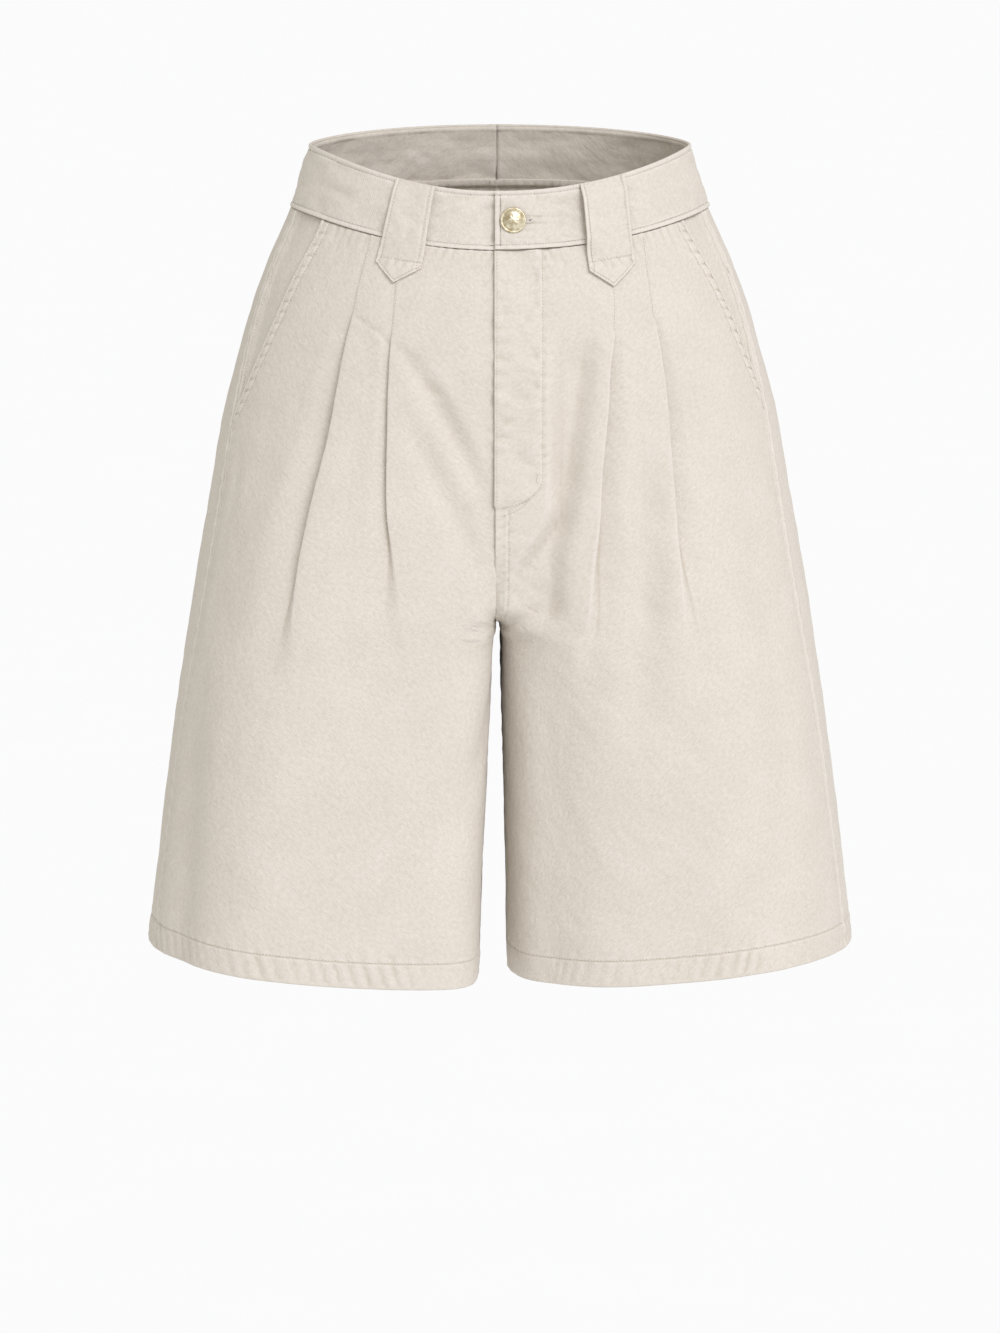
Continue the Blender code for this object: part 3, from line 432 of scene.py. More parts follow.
def torso_row(part, side, level, across):
    half, front, back, dip, rise, seam = [table_curve(SECTIONS, k, level) for k in range(1, 7)]
    toward = 1 if part == FRONT else -1
    first = oval_angle(seam, half, front, TORSO_POWER)
    angle = np.linspace(first, toward * math.pi / 2, SAMPLES)
    x, y = oval(angle, half, front, back, TORSO_POWER, TORSO_POWER, TORSO_POWER)
    run = run_along(np.stack([x, y], axis=-1))
    x, y = read_at(run, across * run[-1], (x, y)).T
    lowered = dip * np.clip(-y / front, 0.0, 1.0) ** DIP_POWER[side]
    raised = rise * np.clip(y / back, 0.0, 1.0) ** RISE_POWER
    return x, y, level - lowered + raised, run[-1]


def leg_row(part, side, level, across, torso_length, under):
    half, seam = table_curve(SECTIONS, 1, level), table_curve(SECTIONS, 6, level)
    gap, front, back, inseam = [table_curve(LEGS, k, level) for k in (1, 3, 4, 5)]
    inner_front, inner_back = [table_curve(LEGS, k, level) for k in (6, 7)]
    inner_front = 2 + (inner_front - 2) * INNER_SQUARE[side]
    toward = 1 if part == FRONT else -1
    reach = (half - gap / 2) / 2
    first = oval_angle(seam, reach, front, LEG_POWER)
    last = toward * math.pi - oval_angle(inseam, reach, front, inner_front)
    angle = np.linspace(first, last, LEG_SAMPLES)
    x, y = oval(angle, reach, front, back, LEG_POWER, inner_front, inner_back)
    x = x + (half + gap / 2) / 2
    run = run_along(np.stack([x, y], axis=-1))
    corner = np.interp(math.pi - math.atan2(front, reach), np.abs(angle), run)
    end = corner + (run[-1] - corner) * under
    at = torso_length * across + (end - torso_length) * across ** INSEAM_STRETCH
    x, y = read_at(run, at, (x, y)).T
    inward = np.clip((half - x) / (half - gap / 2), 0.0, 1.0)
    return x, y, inward


def base_row(part, side, drop):
    """Outer face of the cloth along one row, from the side seam to the centre or the inseam."""
    level = SEAM_LEVEL - drop
    across = np.linspace(0.0, 1.0, SAMPLES)
    x, y, z, length = torso_row(part, side, level, across)
    if drop > LEG_BLEND[0]:
        start, stop = CROTCH[part]
        turn = np.clip((drop - start) / (stop - start), 0.0, 1.0) * math.pi / 2
        under = 1.0 - max(math.cos(turn), 0.0) ** (2 / CROTCH_POWER[part])
        leg_x, leg_y, inward = leg_row(part, side, level, across, length, under)
        at_side = smooth((drop - LEG_BLEND[0]) / (LEG_BLEND[1] - LEG_BLEND[0]))
        at_centre = smooth((drop - INNER_BLEND[part]) / (stop - INNER_BLEND[part]))
        share = smooth((across - INNER_SHARE[0]) / (INNER_SHARE[1] - INNER_SHARE[0]))
        weight = at_side * (1 - share) + at_centre * share
        x = (1 - weight) * x + weight * leg_x
        y = (1 - weight) * y + weight * leg_y
        if drop < stop:
            x = x - x[-1] * across ** INSEAM_STRETCH
        top = SEAM_LEVEL - start
        centre_level = top - (top - CROTCH_LEVEL) * math.sin(turn) ** (2 / CROTCH_POWER[part])
        deepest = SEAM_LEVEL - min(max(drop, start), stop)
        lift = centre_level - deepest
        z = z + min(lift, 0.0) * across ** 3 + max(lift, 0.0) * across ** 6
        z = z - HEM_TILT * smooth((drop - stop) / (HEM_DROP - stop)) * inward
    half = table_curve(SECTIONS, 1, level)
    centre = table_curve(LEGS, 2, level)
    x = side * (x + SEAM) + centre * (1 - np.clip(x / half, 0.0, 1.0))
    return np.stack([x, y, z], axis=-1)


class Row:
    """A row of the base surface with its outward normals, read by distance from the side seam."""

    def __init__(self, part, side, drop):
        above = base_row(part, side, drop - 0.002)
        below = base_row(part, side, drop + 0.002)
        self.points = base_row(part, side, drop)
        along = np.gradient(self.points, axis=0)
        facing = np.cross(along, below - above) * side * (1 if part == FRONT else -1)
        self.normals = facing / np.linalg.norm(facing, axis=1)[:, None]
        self.run = run_along(self.points)
        self.length = self.run[-1]
        self.share = np.linspace(0.0, 1.0, SAMPLES)
        start, stop = CROTCH[part]
        self.end = self.length - SEAM * float(smooth((drop - start) / (stop - start)))

    def distance(self, across):
        return float(np.interp(across, self.share, self.run))

    def at(self, distance, height):
        """Point at a distance along the row, moved out from the base surface."""
        distance = np.asarray(distance, dtype=float)
        height = np.asarray(height, dtype=float)[..., None]
        point = read_at(self.run, distance, self.points.T)
        normal = read_at(self.run, distance, self.normals.T)
        first = (self.points[1] - self.points[0]) / self.run[1]
        last = (self.points[-1] - self.points[-2]) / (self.run[-1] - self.run[-2])
        point = point + np.minimum(distance, 0.0)[..., None] * first
        point = point + np.maximum(distance - self.length, 0.0)[..., None] * last
        normal = normal / np.linalg.norm(normal, axis=-1)[..., None]
        return point + normal * height


@functools.lru_cache(maxsize=None)
def cached_row(part, side, drop):
    return Row(part, side, drop)


def fold_height(folds, row, drop, distance):
    height = np.zeros(len(distance))
    for start, across, end, end_across, width, depth, *beyond in folds:
        t = (drop - start) / (end - start)
        middle = row.distance(across + (end_across - across) * np.clip(t, -0.2, 1.2))
        fade = smooth((t + 0.15) / 0.4) * smooth((1.25 - t) / 0.35)
        reach = np.where(distance > middle, beyond[0] if beyond else width, width)
        height += depth * fade * np.exp(-((distance - middle) / reach) ** 2)
    return height


def pleat_columns(row, drop, table):
    """Distances and heights over one pleat: the hollow beside it, then the folded cloth."""
    across, under, valley, ridge, width, spread = [table_curve(table, k, drop)
                                                   for k in range(1, 7)]
    edge = row.distance(across)
    under = max(under, 0.0)
    opened = float(1 - smooth(under / FOLD_OPEN))
    far, near = edge - max(width, spread), edge - spread / 2
    hollow = [(far + (near - far) * t, -valley * float(smooth(t))) for t in VALLEY_SHARES]
    fold = []
    for along, rise, share in FOLD_PATH:
        rise += (float(smooth(share)) - rise) * opened
        place = edge + under * along + spread * (share - 0.5)
        fold.append((place, -valley + (valley + ridge) * rise))
    return hollow + fold


def pocket_edge(side, drop):
    """Distance of the pocket opening from the side seam."""
    width, end = POCKET[side]
    t = min(max(drop / end, 0.0), 1.0)
    return width * (1 - t) * (1 - POCKET_BOW[side] * t)


def fly_reach(drop):
    """Width of the stitched fly, which turns in to the centre at its foot."""
    start, end = FLY_END
    t = min(max((drop - start) / (end - start), 0.0), FLY_FOOT_TURN)
    return FLY_WIDTH * math.sqrt(1 - t * t)


# ---- relief of seams, puckers and soft unevenness on the panels
def unevenness(distance, drop, seed):
    """Low waves of washed cloth that hangs."""
    waves = (
        (0.0008, distance / 0.055 + 3, drop / 0.075),
        (0.00035, distance / 0.024 + 11, drop / 0.034),
        (0.00022, distance / 0.0095, drop / 0.0110),
        (0.00022, (distance + drop) / 0.0100, (distance - drop) / 0.0300),
    )
    return sum(size * lattice_noise(u, v, seed + k) for k, (size, u, v) in enumerate(waves))


def seam_relief(across, along, seed, pitch=0.013, reach=0.011, depth=0.0004):
    """A seam's groove with its raised lip and the puckers that spread from it."""
    across = np.abs(across)
    line = -0.0008 * bump_at(across, 0.0010) + 0.00040 * bump_at(across - 0.0024, 0.0012)
    return line + depth * puckers(along, pitch, seed) * bump_at(across - 0.003, reach)


def crease_lines(part, side, seed):
    """Every crease of a panel as its ends in distance and drop, with width and depth."""
    table = list({FRONT: FRONT_CREASES, BACK: BACK_CREASES}[part][side])
    draw = np.random.RandomState(seed)
    for _ in range(RANDOM_CREASES):
        drop, across = draw.uniform(0.03, 0.46), draw.uniform(0.08, 0.92)
        reach, turn = draw.uniform(0.012, 0.045), draw.uniform(-1.1, 1.1)
        table.append((drop, across, drop + reach * math.cos(turn),
                      across + 3.5 * reach * math.sin(turn),
                      draw.uniform(0.0022, 0.0048), draw.uniform(-0.00028, 0.00016)))
    lines = []
    for drop, across, end, end_across, width, depth in table:
        first = cached_row(part, side, round(drop, 3)).distance(across)
        last = cached_row(part, side, round(end, 3)).distance(end_across)
        lines.append((first, drop, last, end, width, depth))
    return lines


def crease_height(lines, distance, drop):
    height = np.zeros(len(distance))
    for x0, y0, x1, y1, width, depth in lines:
        if not min(y0, y1) - 4 * width < drop < max(y0, y1) + 4 * width:
            continue
        length = math.hypot(x1 - x0, y1 - y0)
        ux, uy = (x1 - x0) / length, (y1 - y0) / length
        along = ((distance - x0) * ux + (drop - y0) * uy) / length
        beside = (distance - x0) * uy - (drop - y0) * ux
        bend = 0.10 * length * np.sin(math.pi * np.clip(along, 0, 1))
        fade = smooth(along / 0.35 + 0.3) * smooth((1 - along) / 0.45 + 0.3)
        height += depth * fade * bump_at(beside - bend, width)
    return height


def stitch_groove(offset, depth=0.00035, width=0.0008):
    return -depth * bump_at(offset, width)


def hem_relief(distance, drop, seed):
    """The stitched groove above the hem and the slanted ropes in the turned-up cloth."""
    up = HEM_DROP - drop
    groove = stitch_groove(up - HEM_HEIGHT, 0.00045)
    in_hem = float(smooth((up + 0.001) / 0.006) * smooth((HEM_HEIGHT + 0.001 - up) / 0.005))
    above = 0.75 * float(bump_at(max(up - HEM_HEIGHT, 0.0), 0.007)) * (up > HEM_HEIGHT)
    strength = 0.35 + 0.65 * smooth(0.5 + 0.9 * lattice_noise(distance / 0.055, 3.5, seed + 5))
    ropes = puckers(distance + 0.4 * (up - HEM_HEIGHT), 0.0098, seed)
    return groove + 0.00095 * strength * ropes * (in_hem + 0.8 * above)


def waist_relief(distance, drop, seed):
    """Small gathers just under the waistband."""
    return 0.00045 * math.exp(-max(drop, 0.0) / 0.014) * puckers(distance, 0.0062, seed)


def pocket_relief(side, distance, drop, seed):
    """Rolled edge, puckered band and stitched groove inside a pocket opening."""
    if drop > POCKET[side][1] + 0.004:
        return np.zeros(len(distance))
    inside = distance - pocket_edge(side, drop)
    foot = float(smooth((POCKET[side][1] + 0.004 - drop) / 0.010))
    lip = 0.00060 * bump_at(inside - 0.0008, 0.0010)
    groove = stitch_groove(inside - POCKET_ROWS[1], 0.0006, 0.0010)
    slant = drop + 0.25 * inside
    phase = slant / POCKET_RIPPLE + 0.35 * lattice_noise(slant / 0.017, 2.5, seed)
    gap = np.abs(phase - np.round(phase)) * POCKET_RIPPLE
    size = 0.75 + 0.35 * lattice_noise(np.round(phase) * 1.37, 5.5, seed)
    band = smooth((inside - 0.0010) / 0.0012) * smooth((0.0090 - inside) / 0.0022)
    ripples = band * size * (0.00036 - 0.00105 * bump_at(gap, 0.00145))
    outside = 0.0003 * puckers(slant, 0.0122, seed + 3) * bump_at(inside - 0.010, 0.005)
    return foot * (lip + groove + ripples + outside)


def fly_relief(row, distance, drop):
    """The fly's J, its puckers, and the rise seam below it."""
    inside = row.end - distance
    foot = FLY_END[1]
    if drop < foot:
        reach = fly_reach(drop)
        on_fly = smooth((reach - inside) / 0.004)
        by_edge = smooth((0.014 - inside) / 0.010)
        return (stitch_groove(inside - reach, 0.0004)
                + 0.00022 * puckers(drop, 0.0085, 71) * bump_at(inside - reach, 0.006)
                + on_fly * 0.00110 * lattice_noise(inside / 0.014, drop / 0.0095, 72)
                + on_fly * 0.00055 * lattice_noise(inside / 0.007, drop / 0.0062, 73)
                + 0.00045 * by_edge * puckers(drop, 0.0115, 75))
    below = float(smooth((drop - foot) / 0.004))
    strip = smooth((0.0088 - inside) / 0.0012)
    ripple = puckers(drop + 0.5 * inside, 0.0066, 74)
    return (below * (0.0004 * strip + stitch_groove(inside - RISE_ROW, 0.0004))
            + below * ripple * (0.00030 * strip + 0.00025 * bump_at(inside - 0.008, 0.007)))


def under_band(drop):
    """How far a panel's top edge dives under the waistband."""
    return -0.0030 * float(smooth((0.0012 - drop) / 0.0018))


def panel_relief(distance, drop, seed, free, creases):
    """What all panels have in common; free keeps the waves away from seams and pleats."""
    return (unevenness(distance, drop, seed) * free + under_band(drop)
            + crease_height(creases, distance, drop) * smooth(distance / 0.006)
            + waist_relief(distance, drop, seed + 10) + hem_relief(distance, drop, seed + 20))


def front_relief(side, row, drop, distance, pleated, creases):
    """Everything small on a front panel; pleated keeps the waves off the stitched pleats."""
    seed = SEEDS[FRONT, side]
    inside = row.end - distance
    free = smooth(inside / FOLD_CALM) * smooth(distance / 0.012) * pleated
    height = panel_relief(distance, drop, seed, free, creases)
    height = height + pocket_relief(side, distance, drop, seed + 30)
    if drop > POCKET[side][1]:
        come = float(smooth((drop - POCKET[side][1]) / 0.012))
        height = height + come * seam_relief(distance, drop, seed + 40)
    if drop > CROTCH[FRONT][1]:
        return height + seam_relief(inside, drop, seed + 50)
    if side == LEFT:
        return height + fly_relief(row, distance, drop)
    return (height - RISE_DIP * bump_at(np.maximum(inside, 0.0), 0.010)
            + 0.0003 * puckers(drop, 0.0135, seed + 60) * bump_at(inside, 0.012))


def back_relief(side, row, drop, distance, creases):
    seed = SEEDS[BACK, side]
    inside = row.end - distance
    free = smooth(inside / FOLD_CALM) * smooth(distance / FOLD_CALM)
    height = (panel_relief(distance, drop, seed, free, creases)
              + seam_relief(distance, drop, seed + 40) + seam_relief(inside, drop, seed + 50))
    if side == LEFT and drop < CROTCH[BACK][1]:
        height = (height + 0.0003 * smooth((0.0078 - inside) / 0.0012)
                  + stitch_groove(inside - BACK_ROW, 0.0003))
    return height


# ---- cloth pieces
def graded(start, stop, steps):
    """Places from start to stop, closer together at both ends."""
    t = np.linspace(0.0, 1.0, steps + 1)
    return start + (stop - start) * (0.35 * t + 0.65 * smooth(t))


TOP_DROPS = (-0.0045, -0.0012, -0.0002, 0.0003, 0.0008, 0.0013)
ROW_STEP = 0.0027
EDGE_SHARES = (0.10, 0.35, 0.70)            # of the border's half wall: extra rows
EDGE_PROFILE = (0.10, 0.44, 0.76, 0.95)     # of the wall: how it thins round the border
MIN_STEP = 0.0006                           # per metre, where the paler ridges (rubbed wear and painted highlight) and darker grooves (painted shade) are full
# the inner face is darkened a little all over: painted shade
WEAR_AND_SHADE_CURVATURE = 420.0                      # per metre, where wear is full
INNER_PAINTED_SHADE = -0.15
INNER_CUT = (0.3, 0.3, 1.0)                 # shift of the inner face's place in the pattern


def panel_drops(part):
    """Rows of a panel: close by the waist, a front's pockets and the hem."""
    pockets = np.arange(0.0018, 0.1560, 0.0013) if part == FRONT else np.empty(0)
    legs = np.arange(pockets[-1] + ROW_STEP if part == FRONT else 0.0022, 0.4700, ROW_STEP)
    hem = np.linspace(legs[-1] + 0.0022, HEM_DROP, 21)
    return np.concatenate([TOP_DROPS, pockets, legs, hem])


class Piece:
    """A sheet of cloth as rows of middle points, with each point's place on the cut.

    Each row gives its points, distances, drops and walls. The columns counted in hidden, at
    the start and the end, lie under a neighbour; a blunt first column isn't rounded.
    """

    def __init__(self, name, rows, facing_out, hidden=(0, 0), blunt=False):
        points, *fields = zip(*rows)
        self.name = name
        self.points = np.array(points)
        self.facing = -1.0 if facing_out else 1.0
        self.hidden = hidden
        self.blunt = blunt
        columns = self.points.shape[1]
        self.distance, self.drop, self.wall = [
            np.array([np.broadcast_to(row, columns) for row in field], dtype=float)
            for field in fields]

    def normals(self):
        along = np.gradient(self.points, axis=1)
        down = np.gradient(self.points, axis=0)
        facing = np.cross(down, along) * self.facing
        size = np.linalg.norm(facing, axis=2)[..., None]
        return facing / np.maximum(size, 1e-12)

    def add_edges(self):
        """Extra rows and columns close to the border, where the cloth's edge is rounded."""
        for axis in (0, 1):
            if axis == 0 or not self.blunt:
                self._add_edge(axis, first=True)
            self._add_edge(axis, first=False)

    def _add_edge(self, axis, first):
        fields = [self.points, self.distance, self.drop, self.wall]
        fields = [np.moveaxis(f, axis, 0) for f in fields]
        if not first:
            fields = [f[::-1] for f in fields]
        a, b = fields[0][0], fields[0][1]
        gap = np.linalg.norm(b - a, axis=-1)
        radius = fields[3][0] / 2
        reach = np.minimum(radius / np.maximum(gap, 1e-9), 0.8)
        made = []
        for field in fields:
            t = reach if field.ndim == 2 else reach[..., None]
            rows = [field[0] + (field[1] - field[0]) * t * share for share in EDGE_SHARES]
            made.append(np.concatenate([field[:1], np.stack(rows), field[1:]]))
        if not first:
            made = [f[::-1] for f in made]
        made = [np.moveaxis(f, 0, axis) for f in made]
        self.points, self.distance, self.drop, self.wall = made

    def roundness(self):
        """Share of the wall at each point: it thins to nothing round the border."""
        by_axis = [np.ones(count) for count in self.distance.shape]
        for axis, values in enumerate(by_axis):
            if axis == 0 or not self.blunt:
                values[:4] = EDGE_PROFILE
            values[-4:] = EDGE_PROFILE[::-1]
        return np.minimum.outer(*by_axis)

    def curvature(self):
        """How far each point stands out from its neighbours, per metre; ridges are positive."""
        normal = self.normals()
        total = np.zeros(self.distance.shape)
        for axis in (0, 1):
            p = np.moveaxis(self.points, axis, 0)
            n = np.moveaxis(normal, axis, 0)
            after, before = p[2:] - p[1:-1], p[:-2] - p[1:-1]
            far = np.maximum(np.linalg.norm(after, axis=-1), MIN_STEP)
            near = np.maximum(np.linalg.norm(before, axis=-1), MIN_STEP)
            bend = 2 * (after / far[..., None] + before / near[..., None])
            bend /= (far + near)[..., None]
            row = np.zeros(p.shape[:2])
            row[1:-1] = -np.sum(bend * n[1:-1], axis=-1)
            total += np.moveaxis(row, 0, axis)
        return total

    @functools.cached_property
    def outer(self):
        """Points and normals of the outer face, as it is before its edges are added."""
        normals = self.normals()
        return self.points + normals * self.wall[..., None] / 2, normals

    def surface_at(self, distance, drop):
        """Point and normal on the outer face; of folded layers, the top one."""
        drops = self.drop[:, 0]
        r = int(np.clip(np.searchsorted(drops, drop) - 1, 0, len(drops) - 2))
        t = float(np.clip((drop - drops[r]) / (drops[r + 1] - drops[r]), 0.0, 1.0))
        found = []
        low, high = self.hidden[0], self.distance.shape[1] - self.hidden[1]
        for k, weight in ((r, 1 - t), (r + 1, t)):
            run = self.distance[k, low:high]
            inside = np.nonzero((run[:-1] <= distance) & (run[1:] > distance))[0]
            i = int(inside[-1]) if len(inside) else int(np.argmin(np.abs(run[:-1] - distance)))
            width = run[i + 1] - run[i]
            f = float(np.clip((distance - run[i]) / width, 0.0, 1.0)) if width > 0 else 0.0
            found.append((weight, k, i + low, f))
        point, normal = [sum(w * (field[k, i] * (1 - f) + field[k, i + 1] * f)
                             for w, k, i, f in found) for field in self.outer]
        return point, unit(normal)


def shell(piece):
    """A closed thin shell round the piece's middle, rounded at its edges."""
    piece.add_edges()
    rows, columns = piece.distance.shape
    half = (piece.wall * piece.roundness() / 2)[..., None]
    normal = piece.normals()
    outer = (piece.points + normal * half).reshape(-1, 3)
    inner = (piece.points - normal * half).reshape(-1, 3)
    count = rows * columns
    index = np.arange(count).reshape(rows, columns)
    a, b = index[:-1, :-1].ravel(), index[1:, :-1].ravel()
    c, d = index[1:, 1:].ravel(), index[:-1, 1:].ravel()
    front = np.stack([a, b, c, d], axis=1)
    rim = np.concatenate([index[0, :-1], index[:-1, -1], index[-1, :0:-1], index[:0:-1, 0]])
    after = np.roll(rim, -1)
    border = np.stack([rim, after, after + count, rim + count], axis=1)
    if piece.facing > 0:
        faces = np.concatenate([front, front[:, ::-1] + count, border])
    else:
        faces = np.concatenate([front[:, ::-1], front + count, border[:, ::-1]])
    item = add_mesh(piece.name, np.concatenate([outer, inner]).tolist(), faces.tolist(),
                    MATERIALS["twill"])
    cut = np.stack([piece.distance, piece.drop, np.zeros((rows, columns))], axis=-1)
    cut = cut.reshape(-1, 3)
    store(item.data, "cut", "FLOAT_VECTOR", np.concatenate([cut, cut + INNER_CUT]))
    # Colour mark from the curvature: ridges lighter with rubbed wear and a painted highlight,
    # grooves darker with painted shade
    wear_highlight_shade = np.clip(piece.curvature() / WEAR_AND_SHADE_CURVATURE, -1.0, 1.0).ravel()
    store(item.data, "wear_highlight_shade", "FLOAT", np.concatenate([wear_highlight_shade, np.full(count, INNER_PAINTED_SHADE)]))
    return item


def store(mesh, name, kind, values):
    attribute = mesh.attributes.new(name, kind, "POINT")
    key = "vector" if kind == "FLOAT_VECTOR" else "value"
    attribute.data.foreach_set(key, np.asarray(values, np.float32).ravel())


def front_start(side, drop, start):
    """Hidden columns at the pocket opening, and along the side seam below it."""
    if drop <= POCKET[side][1] + 0.003:
        return [(start + inside, height) for inside, height in TURNED]
    return [(start - past, height) for past, height in ALLOWANCE]


def front_finish(side, drop, end, raised):
    """Hidden columns at the centre line, and along the inseam below it."""
    if side == LEFT and drop < CROTCH[FRONT][1]:
        return [(end - inside, raised + height) for inside, height in TURNED[::-1]]
    return [(end + past, height) for past, height in ALLOWANCE[::-1]]


NEAR_OPENING = np.array([0.0, 0.0005, 0.0010, 0.0016, 0.0023, 0.0031, 0.0040, 0.0049, 0.0057,
                         0.0063, 0.0069, 0.0076, 0.0085, 0.0100, 0.0120])
NEAR_SEAM = np.array([0.0, 0.0008, 0.0016, 0.0024, 0.0034, 0.0046, 0.0062, 0.0085])
NEAR_SIDE = (SEAM, 0.0009, 0.0018, 0.0030, 0.0042, 0.0056)
SIDE_COLUMNS, MIDDLE_COLUMNS, CENTRE_COLUMNS = 22, 14, 20   # beside and between the pleats
BACK_COLUMNS = 118
FLY_SHARES = (0.0, 0.03, 0.06, 0.12, 0.20, 0.28, 0.36, 0.44, 0.52, 0.60, 0.68, 0.76, 0.84,
              0.90, 0.95, 0.98, 1.0)


def front_places(side, row, drop):
    """Columns of a front row: distance, height, and how free of pleats each point is."""
    outer, inner = [pleat_columns(row, drop, pleat) for pleat in PLEATS[side]]
    start = max(pocket_edge(side, drop), 0.0) + SEAM
    end = row.end
    reach = fly_reach(drop)
    limit = start + (outer[0][0] - start) * np.linspace(0.0, 0.55, len(NEAR_OPENING))
    near = np.minimum(start + NEAR_OPENING, limit)
    side_run = np.linspace(near[-1], outer[0][0], SIDE_COLUMNS)[1:-1]
    columns = [(place, 0.0) for place in np.concatenate([near, side_run])] + outer
    top = outer[-1]
    for t in np.linspace(0, 1, MIDDLE_COLUMNS)[1:-1]:
        fade = 1 - smooth(t * RIDGE_FADE)
        columns.append((top[0] + (inner[0][0] - top[0]) * t, top[1] * fade))
    columns += inner
    top = inner[-1]
    fly_start = end - reach - FLY_STEP
    for place in graded(top[0], fly_start, CENTRE_COLUMNS)[1:]:
        t = (place - top[0]) / (fly_start - top[0])
        columns.append((place, top[1] * (1 - smooth(t * RIDGE_FADE))))
    raised, lap = (0.0, 0.0, 0.0), 0.0
    if side == LEFT and drop < FLY_END[1]:
        raised, lap = (FLY_RAISE, FLY_MIDDLE_RAISE, FLY_LAP_RAISE), FLY_LAP
    elif side == LEFT:
        fade = float(smooth((CROTCH[FRONT][1] - drop) / 0.012))
        raised, lap = (0.0, 0.0, RISE_RAISE * fade), RISE_LAP * fade
    for t in FLY_SHARES:
        rise = np.interp(t, (0.0, 0.5, 1.0), raised)
        columns.append((end - reach + (reach + lap) * t, rise))
    columns = front_start(side, drop, start) + columns
    columns += front_finish(side, drop, end + lap, raised[2])
    distance, height = np.array(columns).T
    free = np.ones(len(columns))
    for pleat, foot in zip(PLEATS[side], PLEAT_STITCHED[side]):
        edge = row.distance(table_curve(pleat, 1, drop))
        calm = float(1 - smooth((drop - foot * 0.4) / foot))
        free = np.minimum(free, 1 - 0.8 * calm * bump_at(distance - edge, 0.010))
    return distance, height, free


def hem_wall(drop):
    return HEM_WALL if drop >= HEM_ROW - 0.0002 else CLOTH


def front_rows(side):
    """Rows of a front panel, down from the waist: points, distances, drops and walls."""
    creases = crease_lines(FRONT, side, 800 + side)
    for drop in panel_drops(FRONT):
        row = Row(FRONT, side, drop)
        distance, height, free = front_places(side, row, drop)
        stiff = FLY_WIDTH * smooth((FLY_END[1] + 0.060 - drop) / 0.060) if side == LEFT else 0.0
        beside = np.interp(distance, row.run, np.abs(row.points[:, 0]))
        inner = smooth((beside - stiff) / FLY_CALM)
        inner += (1 - inner) * smooth((drop - CROTCH[FRONT][1]) / 0.060)
        soft = fold_height(FRONT_FOLDS[side], row, drop, distance)
        soft *= inner * smooth((row.end - distance) / FOLD_CALM) * smooth(distance / 0.016)
        small = front_relief(side, row, drop, distance, free, creases)
        wall = np.full(len(distance), hem_wall(drop))
        wall[:HIDDEN] = wall[-HIDDEN:] = TURNED_WALL
        yield row.at(distance, height + soft + small - wall / 2), distance, drop, wall


def back_rows(side):
    """Rows of a back panel; the left one runs on under the right, and turns in at the inseam."""
    creases = crease_lines(BACK, side, 830 + side)
    for drop in panel_drops(BACK):
        row = Row(BACK, side, drop)
        middle = np.linspace(0.0115, row.end - 0.0115, BACK_COLUMNS)
        distance = np.concatenate([NEAR_SEAM + SEAM, middle, row.end - NEAR_SEAM[::-1]])
        past = np.zeros(len(distance))
        if side == LEFT:
            under = ALLOWANCE if drop < CROTCH[BACK][1] else tuple((-a, b) for a, b in TURNED)
            distance = np.append(distance, [row.end + a for a, _ in under[::-1]])
            past = np.append(past, [b for _, b in under[::-1]])
        soft = fold_height(BACK_FOLDS[side], row, drop, distance)
        soft *= smooth((row.length - distance) / FOLD_CALM) * smooth(distance / FOLD_CALM)
        small = back_relief(side, row, drop, distance, creases)
        wall = np.where(past < 0, TURNED_WALL, hem_wall(drop))
        yield row.at(distance, soft + small + past - wall / 2), distance, drop, wall


def facing_rows(side):
    """The cloth seen outside a slanted opening: flush at the side seam, then under the front."""
    foot = POCKET[side][1] + POCKET_FOOT
    past, under = np.array(ALLOWANCE).T
    for drop in np.concatenate([TOP_DROPS, np.linspace(0.003, foot, 60)]):
        row = Row(FRONT, side, drop)
        edge = pocket_edge(side, drop)
        across = np.linspace(0.0075, edge + POCKET_UNDER, 26)
        distance = np.concatenate([-past, NEAR_SIDE, across])
        sunk = smooth((distance - 0.001) / max(min(0.010, 0.6 * edge), 0.0010))
        height = 0.00035 * lattice_noise(distance / 0.013, drop / 0.021, 500 + side)
        height += seam_relief(distance, drop, 510 + side)
        height += stitch_groove(distance - FACING_ROW, 0.0003) - FACING_DEPTH * sunk
        height[:HIDDEN] = under
        wall = np.full(len(distance), CLOTH)
        wall[:HIDDEN] = TURNED_WALL
        yield row.at(distance, height + under_band(drop) / 2 - wall / 2), distance, drop, wall


def shield_rows():
    """The underlap behind the fly opening."""
    low, high = SHIELD_WIDTH
    for drop in np.linspace(SEAM, SHIELD_FOOT, 48):
        row = Row(FRONT, LEFT, drop)
        distance = row.length - np.linspace(high, low, 14)
        height = 0.0001 * lattice_noise(distance / 0.010, drop / 0.018, 520)
        yield row.at(distance, height - SHIELD_DEPTH), distance, drop, CLOTH


# ---- waistband
def band_height(side, x):
    """Height of the band's middle above the base, with its lapped ends at the centre front."""
    middle = BAND_PROUD - BAND_WALL / 2
    if side == LEFT:
        start = UNDERLAP_EDGE + UNDERLAP_SPARE + LAP_SLOPE
        return middle + LAP_RISE * smooth((start - x) / LAP_SLOPE)
    start = LAP_EDGE - LAP_SPARE - LAP_SLOPE
    return middle - UNDERLAP_DIP * smooth((x - start) / LAP_SLOPE)


def past_centre(row, side, distance, height, drop):
    """Points along a front row that carry on round the other side past the centre."""
    other = Row(FRONT, -side, drop)
    mirrored = other.at(other.length + row.length - distance, height)
    own = row.at(distance, height)
    beyond = (distance > row.length)[:, None]
    return np.where(beyond, mirrored, own)


